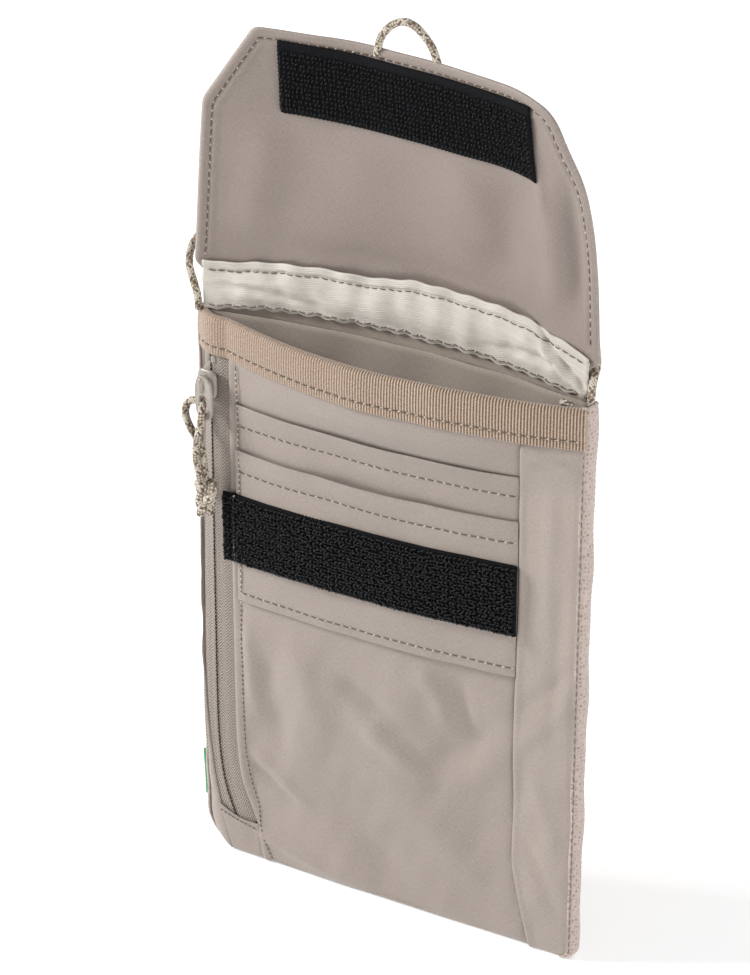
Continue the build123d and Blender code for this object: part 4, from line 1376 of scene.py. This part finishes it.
def flap_y(x, z):
    """The open flap: bowed like the back, its right side leaning further forward."""
    lean = 0.07 * np.maximum(0, x + 20) * ease((z - 178) / 75)
    y = FLAP.y(x, z) - lean
    for ridge in FLAP_CREASES:
        y = y - crease(x, z, *ridge)
    return y + 0.4 * swell(x, z, 61, 26, slant=(1, 0.6)) * ease((z - 172) / 12)


def flap_face(x, z):
    """The flap's inner face: a rolled hem with its stitches sunk between two ridges."""
    _, _, edge, along = nearest(flap_outline, x, z)
    above = ease((z - 182) / 4)
    hem = 0.5 * bell((edge - 1.0) / 0.7) + 0.34 * bell((edge - 3.4) / 0.55)
    draw = pucker(edge - HEM_IN, along, 0.4, 0.5)
    return points_of(x, flap_y(x, z) - 0.6 - above * (hem - draw), z)


def clipped(outline, low, high):
    """The part of an outline between two heights."""
    dense = []
    for (x0, z0), (x1, z1) in zip(outline, np.roll(outline, -1, axis=0)):
        for t in np.linspace(0, 1, max(2, int(hypot(x1 - x0, z1 - z0))), endpoint=False):
            dense.append((x0 + (x1 - x0) * t, float(np.clip(z0 + (z1 - z0) * t, low, high))))
    return np.array(dense)


MID_BRIDGE = 174.5    # between the two folds, where one piece of cloth ends behind the other
FLAP_THICK = 1.15
# The inner faces take the darker copy of the cloth, painted shade; the outer faces take the body cloth.
flap = cut_cloth("flap_cloth", clipped(flap_outline, MID_BRIDGE, 252), flap_face, 0.75, FLAP_THICK,
                 [mat["flap_in_painted_shade"], mat["body"]])
bridge = cut_cloth("flap_bridge_cloth", clipped(flap_outline, 166.9, MID_BRIDGE + 0.4), flap_face, 0.75,
                   FLAP_THICK, [mat["flap_in_painted_shade"], mat["body"]])
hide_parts("flap_outer", "flap_lining")
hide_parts("flap_bridge", "flap_bridge_lining")
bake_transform(flap)
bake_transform(bridge)

# The hem's stitches show on both faces of the flap.
thread = Threads()
hem_x, _, hem_z = hem_line.T
inner = flap_face(hem_x, hem_z)
thread.stitches(inner + [0, -0.04, 0], OUT_FRONT, 2.5, 0.15)
through = broad_normal(flap_face, hem_x, hem_z)
outer = inner + np.sign(through[:, 1:2]) * through * (FLAP_THICK + 0.06)
thread.stitches(outer, (0, 1, 0), 2.5, 0.17, False)
thread.place("flap_stitches", "flap", "body_fabric")

HOOK_LEFT, HOOK_RIGHT = -34.4, 40.4
HOOK_H = 19.5


def hook_base(u, v):
    """A point on the flap strip's face: it is a little wider at its foot and slopes to the right."""
    x = HOOK_LEFT + u + 0.085 * (HOOK_H - v) * (u / (HOOK_RIGHT - HOOK_LEFT))
    z = HOOK_LOW - 0.4 + v - 1.6 * u / (HOOK_RIGHT - HOOK_LEFT)
    rim = 0.3 * bell(np.minimum(v, HOOK_H - v) / 0.8)
    return points_of(x, flap_y(x, z) - 1.75 + rim, z)


hook_size = (HOOK_RIGHT - HOOK_LEFT, HOOK_H)
hooks = strip_base("hook_strip_tape", hook_base, hook_size)
place(hooks, "flap", "hook_tape", ["hook_strip"])
place(pile("hook_strip_pile", hook_base, hook_size, 8, "hook"), "flap", "hook_tape")

# --- Slider, its pull and the flap's pull loop


def pebble(name, centre, size, powers, tilt=0.0):
    """A rounded block: powers below 1 square it off in plan and in section."""
    def bend(a, p):
        return np.sign(a) * np.abs(a) ** p

    u, v = np.meshgrid(np.linspace(-pi, pi, 49)[:-1], np.linspace(-pi / 2, pi / 2, 25))
    x = size[0] / 2 * bend(np.cos(v), powers[1]) * bend(np.cos(u), powers[0])
    z = size[2] / 2 * bend(np.cos(v), powers[1]) * bend(np.sin(u), powers[0])
    y = size[1] / 2 * bend(np.sin(v), powers[1])
    c, s = cos(tilt), sin(tilt)
    points = points_of(centre[0] + c * x - s * y, centre[1] + s * x + c * y, centre[2] + z)
    index = np.arange(points.shape[0] * points.shape[1]).reshape(points.shape[:2])
    nxt = np.roll(index, -1, axis=1)
    faces = points_of(index[:-1], nxt[:-1], nxt[1:], index[1:]).reshape(-1, 4).tolist()
    return clean_up(link_mesh(name, points.reshape(-1, 3), faces, mat["coat"]), 0.01)


def plate(name, outlines, y, thick, round_, tilt, pivot):
    """A flat plate with holes and rounded edges. outlines are closed lines of (x, z)."""
    data = bpy.data.curves.new(name, "CURVE")
    data.dimensions = "2D"
    data.fill_mode = "BOTH"
    data.extrude = (thick / 2 - round_) * MM
    data.bevel_depth = round_ * MM
    data.bevel_resolution = 3
    for line in outlines:
        spline = data.splines.new("POLY")
        spline.points.add(len(line) - 1)
        for point, (px, pz) in zip(spline.points, line):
            point.co = ((px - pivot[0]) * MM, (pz - pivot[1]) * MM, 0, 1)
        spline.use_cyclic_u = True
    mesh = mesh_of_curve(data)
    co = np.zeros(len(mesh.vertices) * 3)
    mesh.vertices.foreach_get("co", co)
    co = co.reshape(-1, 3)
    c, s = cos(tilt), sin(tilt)
    out = points_of(pivot[0] * MM + c * co[:, 0] + s * co[:, 2],
                    y * MM + s * co[:, 0] - c * co[:, 2], pivot[1] * MM + co[:, 1])
    mesh.vertices.foreach_set("co", out.ravel())
    mesh.update()
    mesh.materials.clear()
    mesh.materials.append(mat["coat"])
    mesh.shade_smooth()
    obj = bpy.data.objects.new(name, mesh)
    bpy.context.scene.collection.objects.link(obj)
    modifier = obj.modifiers.new("weighted", "WEIGHTED_NORMAL")
    modifier.keep_sharp = True
    return obj


def rounded(cx, cz, w, h, r, n=8):
    """A rounded rectangle as a line of (x, z)."""
    line = []
    for sx, sz, start in ((1, 1, 0), (-1, 1, pi / 2), (-1, -1, pi), (1, -1, 3 * pi / 2)):
        for k in range(n + 1):
            a = start + k / n * pi / 2
            line.append((cx + sx * (w / 2 - r) + r * cos(a), cz + sz * (h / 2 - r) + r * sin(a)))
    return line


SLIDER_Z = 148.5
TILT = -0.17
for name, centre, size, powers, nodes in (
        ("slider_dome", (ZIP_X, SEAM_Y - 0.85, SLIDER_Z), (6.6, 2.3, 8.6), (0.6, 0.8), ["slider_body"]),
        ("slider_crown", (ZIP_X, SEAM_Y - 2.7, SLIDER_Z + 0.6), (2.0, 4.2, 5.0), (0.8, 0.6), ()),
        ("slider_rear", (ZIP_X, SEAM_Y + 2.0, SLIDER_Z), (6.4, 0.9, 8.6), (0.5, 0.6), ())):
    place(pebble(name, centre, size, powers, TILT), "zip_slider", "slider_coat", nodes)
TAB_X = ZIP_X + 0.6
tab_line = [(-1.6, 151.6), (-2.6, 149.6), (-2.8, 146), (-2.5, 141.2), (-1.5, 139.6), (1.5, 139.4),
            (2.6, 140.6), (2.9, 146), (2.4, 149.8), (1.4, 151.6), (-1.6, 151.6)]
tab_line = spline_path([(TAB_X + x, 0, z) for x, z in tab_line])[:-1, [0, 2]].tolist()
hole = rounded(TAB_X + 0.05, 143.6, 3.5, 6.0, 1.6)
slot_hole = rounded(TAB_X - 0.4, SLIDER_Z + 0.5, 1.9, 1.6, 0.5, 4)
tab = plate("slider_tab_plate", [tab_line, hole, slot_hole], SEAM_Y - 3.5, 1.0, 0.35, TILT,
            (ZIP_X, SLIDER_Z))
place(tab, "zip_slider", "slider_coat", ["slider_tab"])
for name, reach, nodes in (("zip_stop_left", -1.1, ["zip_top_stop"]), ("zip_stop_right", 1.1, ())):
    stop = pebble(name, front(ZIP_X + reach, 155.3, 0.4), (1.5, 1.2, 2.2), (0.5, 0.5))
    place(stop, "pouch", "slider_coat", nodes)

def before_seam(route):
    """A route whose middle numbers are distances in front of the seam."""
    return [(x, SEAM_Y - out, z) for x, out, z in route]


pull_route = before_seam([
    (-54.2, 4.6, 119.5), (-55.1, 4.9, 124.0), (-55.6, 5.1, 128.6), (-54.7, 5.6, 133.8),
    (-53.2, 5.8, 138.0), (-53.4, 5.0, 142.6), (-54.4, 2.6, 143.3), (-57.0, 1.6, 143.4),
    (-59.8, 2.0, 142.4), (-60.2, 3.0, 139.0), (-58.2, 3.6, 135.6), (-55.4, 3.3, 131.5),
    (-54.5, 2.9, 127.5), (-54.5, 2.9, 123.5), (-53.7, 3.0, 119.0)])
pull_cord, pull_path = braided_cord("pull_cord_braid", pull_route)
place(pull_cord, "zip_pull", "cord", ["pull_cord"])
knot_t = np.linspace(0, 2 * pi, 120)
knot_path = points_of(    # a trefoil
    -53.4 + 0.82 * (np.sin(knot_t) + 2 * np.sin(2 * knot_t)),
    SEAM_Y - 3.9 - 1.1 * np.sin(3 * knot_t),
    116.6 + 1.45 * (np.cos(knot_t) - 2 * np.cos(2 * knot_t)))
knot = tube("pull_knot_braid", knot_path, CORD_D / 2 + 0.35)
place(knot, "zip_pull", "cord", ["pull_knot"])
ends = []
for name, route in (("pull_end_one", [(-54.2, 4.4, 114), (-54.6, 4.8, 111.8), (-54.9, 4.7, 110.2)]),
                    ("pull_end_two", [(-52.8, 3.6, 114), (-52.3, 3.9, 112.2), (-51.9, 3.8, 110.8)])):
    end = tube(name, spline_path(before_seam(route)), CORD_D / 2)
    ends.append(place(end, "zip_pull", "cord"))

loop_y = float(flap_y(np.array(3.4), np.array(250.0)))
loop_route = [
    (-6.8, loop_y + 0.4, 247.6), (-6.2, loop_y + 0.2, 252.4), (-3.2, loop_y, 256.2),
    (0.6, loop_y - 0.1, 258.6), (4.4, loop_y, 257.9), (7.9, loop_y + 0.1, 254.8),
    (10.4, loop_y + 0.1, 251.0), (11.3, loop_y, 247.2)]
pull_loop, loop_path = braided_cord("flap_pull_loop_braid", loop_route)
place(pull_loop, "flap", "cord", ["flap_pull_loop"])
[c * MM for c in loop_route[0]]

# A short folded end of cord is caught in the mouth's right corner.
end_route = [(56.6, -2.6, 166.2), (55.4, -2.9, 167.8), (53.6, -3.1, 169.0), (52.1, -3.1, 168.7),
             (51.8, -2.8, 167.7), (53.2, -2.4, 166.4), (56.0, -2.0, 165.4)]
place(tube("mouth_cord_end", spline_path(end_route), 0.75), "pouch", "cord")

# --- The hank's tie

# Once round the hank, with an end lapped over the start
around = np.array(rounded(HANK_Y, 3.1, 21.0, 5.8, 2.2, 6))
around = np.concatenate([around[8:], around[:14]])
around[:, 1] += 0.35 * ease((np.linspace(0, 1, len(around)) - 0.7) / 0.3)
path, at = resample(lifted(around), 0.5)
w, row = np.meshgrid(span(-3.5, 3.5, 0.5), np.arange(len(path)))
surface = points_of(w + 0.3 * np.sin(at[row] / 7), path[row, 0], path[row, 2])
tie = cloth("hank_tie_band", surface, points_of(w, at[row]), 0.5, mat["tie"], (0, 0, 0))
place(tie, "pouch", "cord", ["hank_tie"])
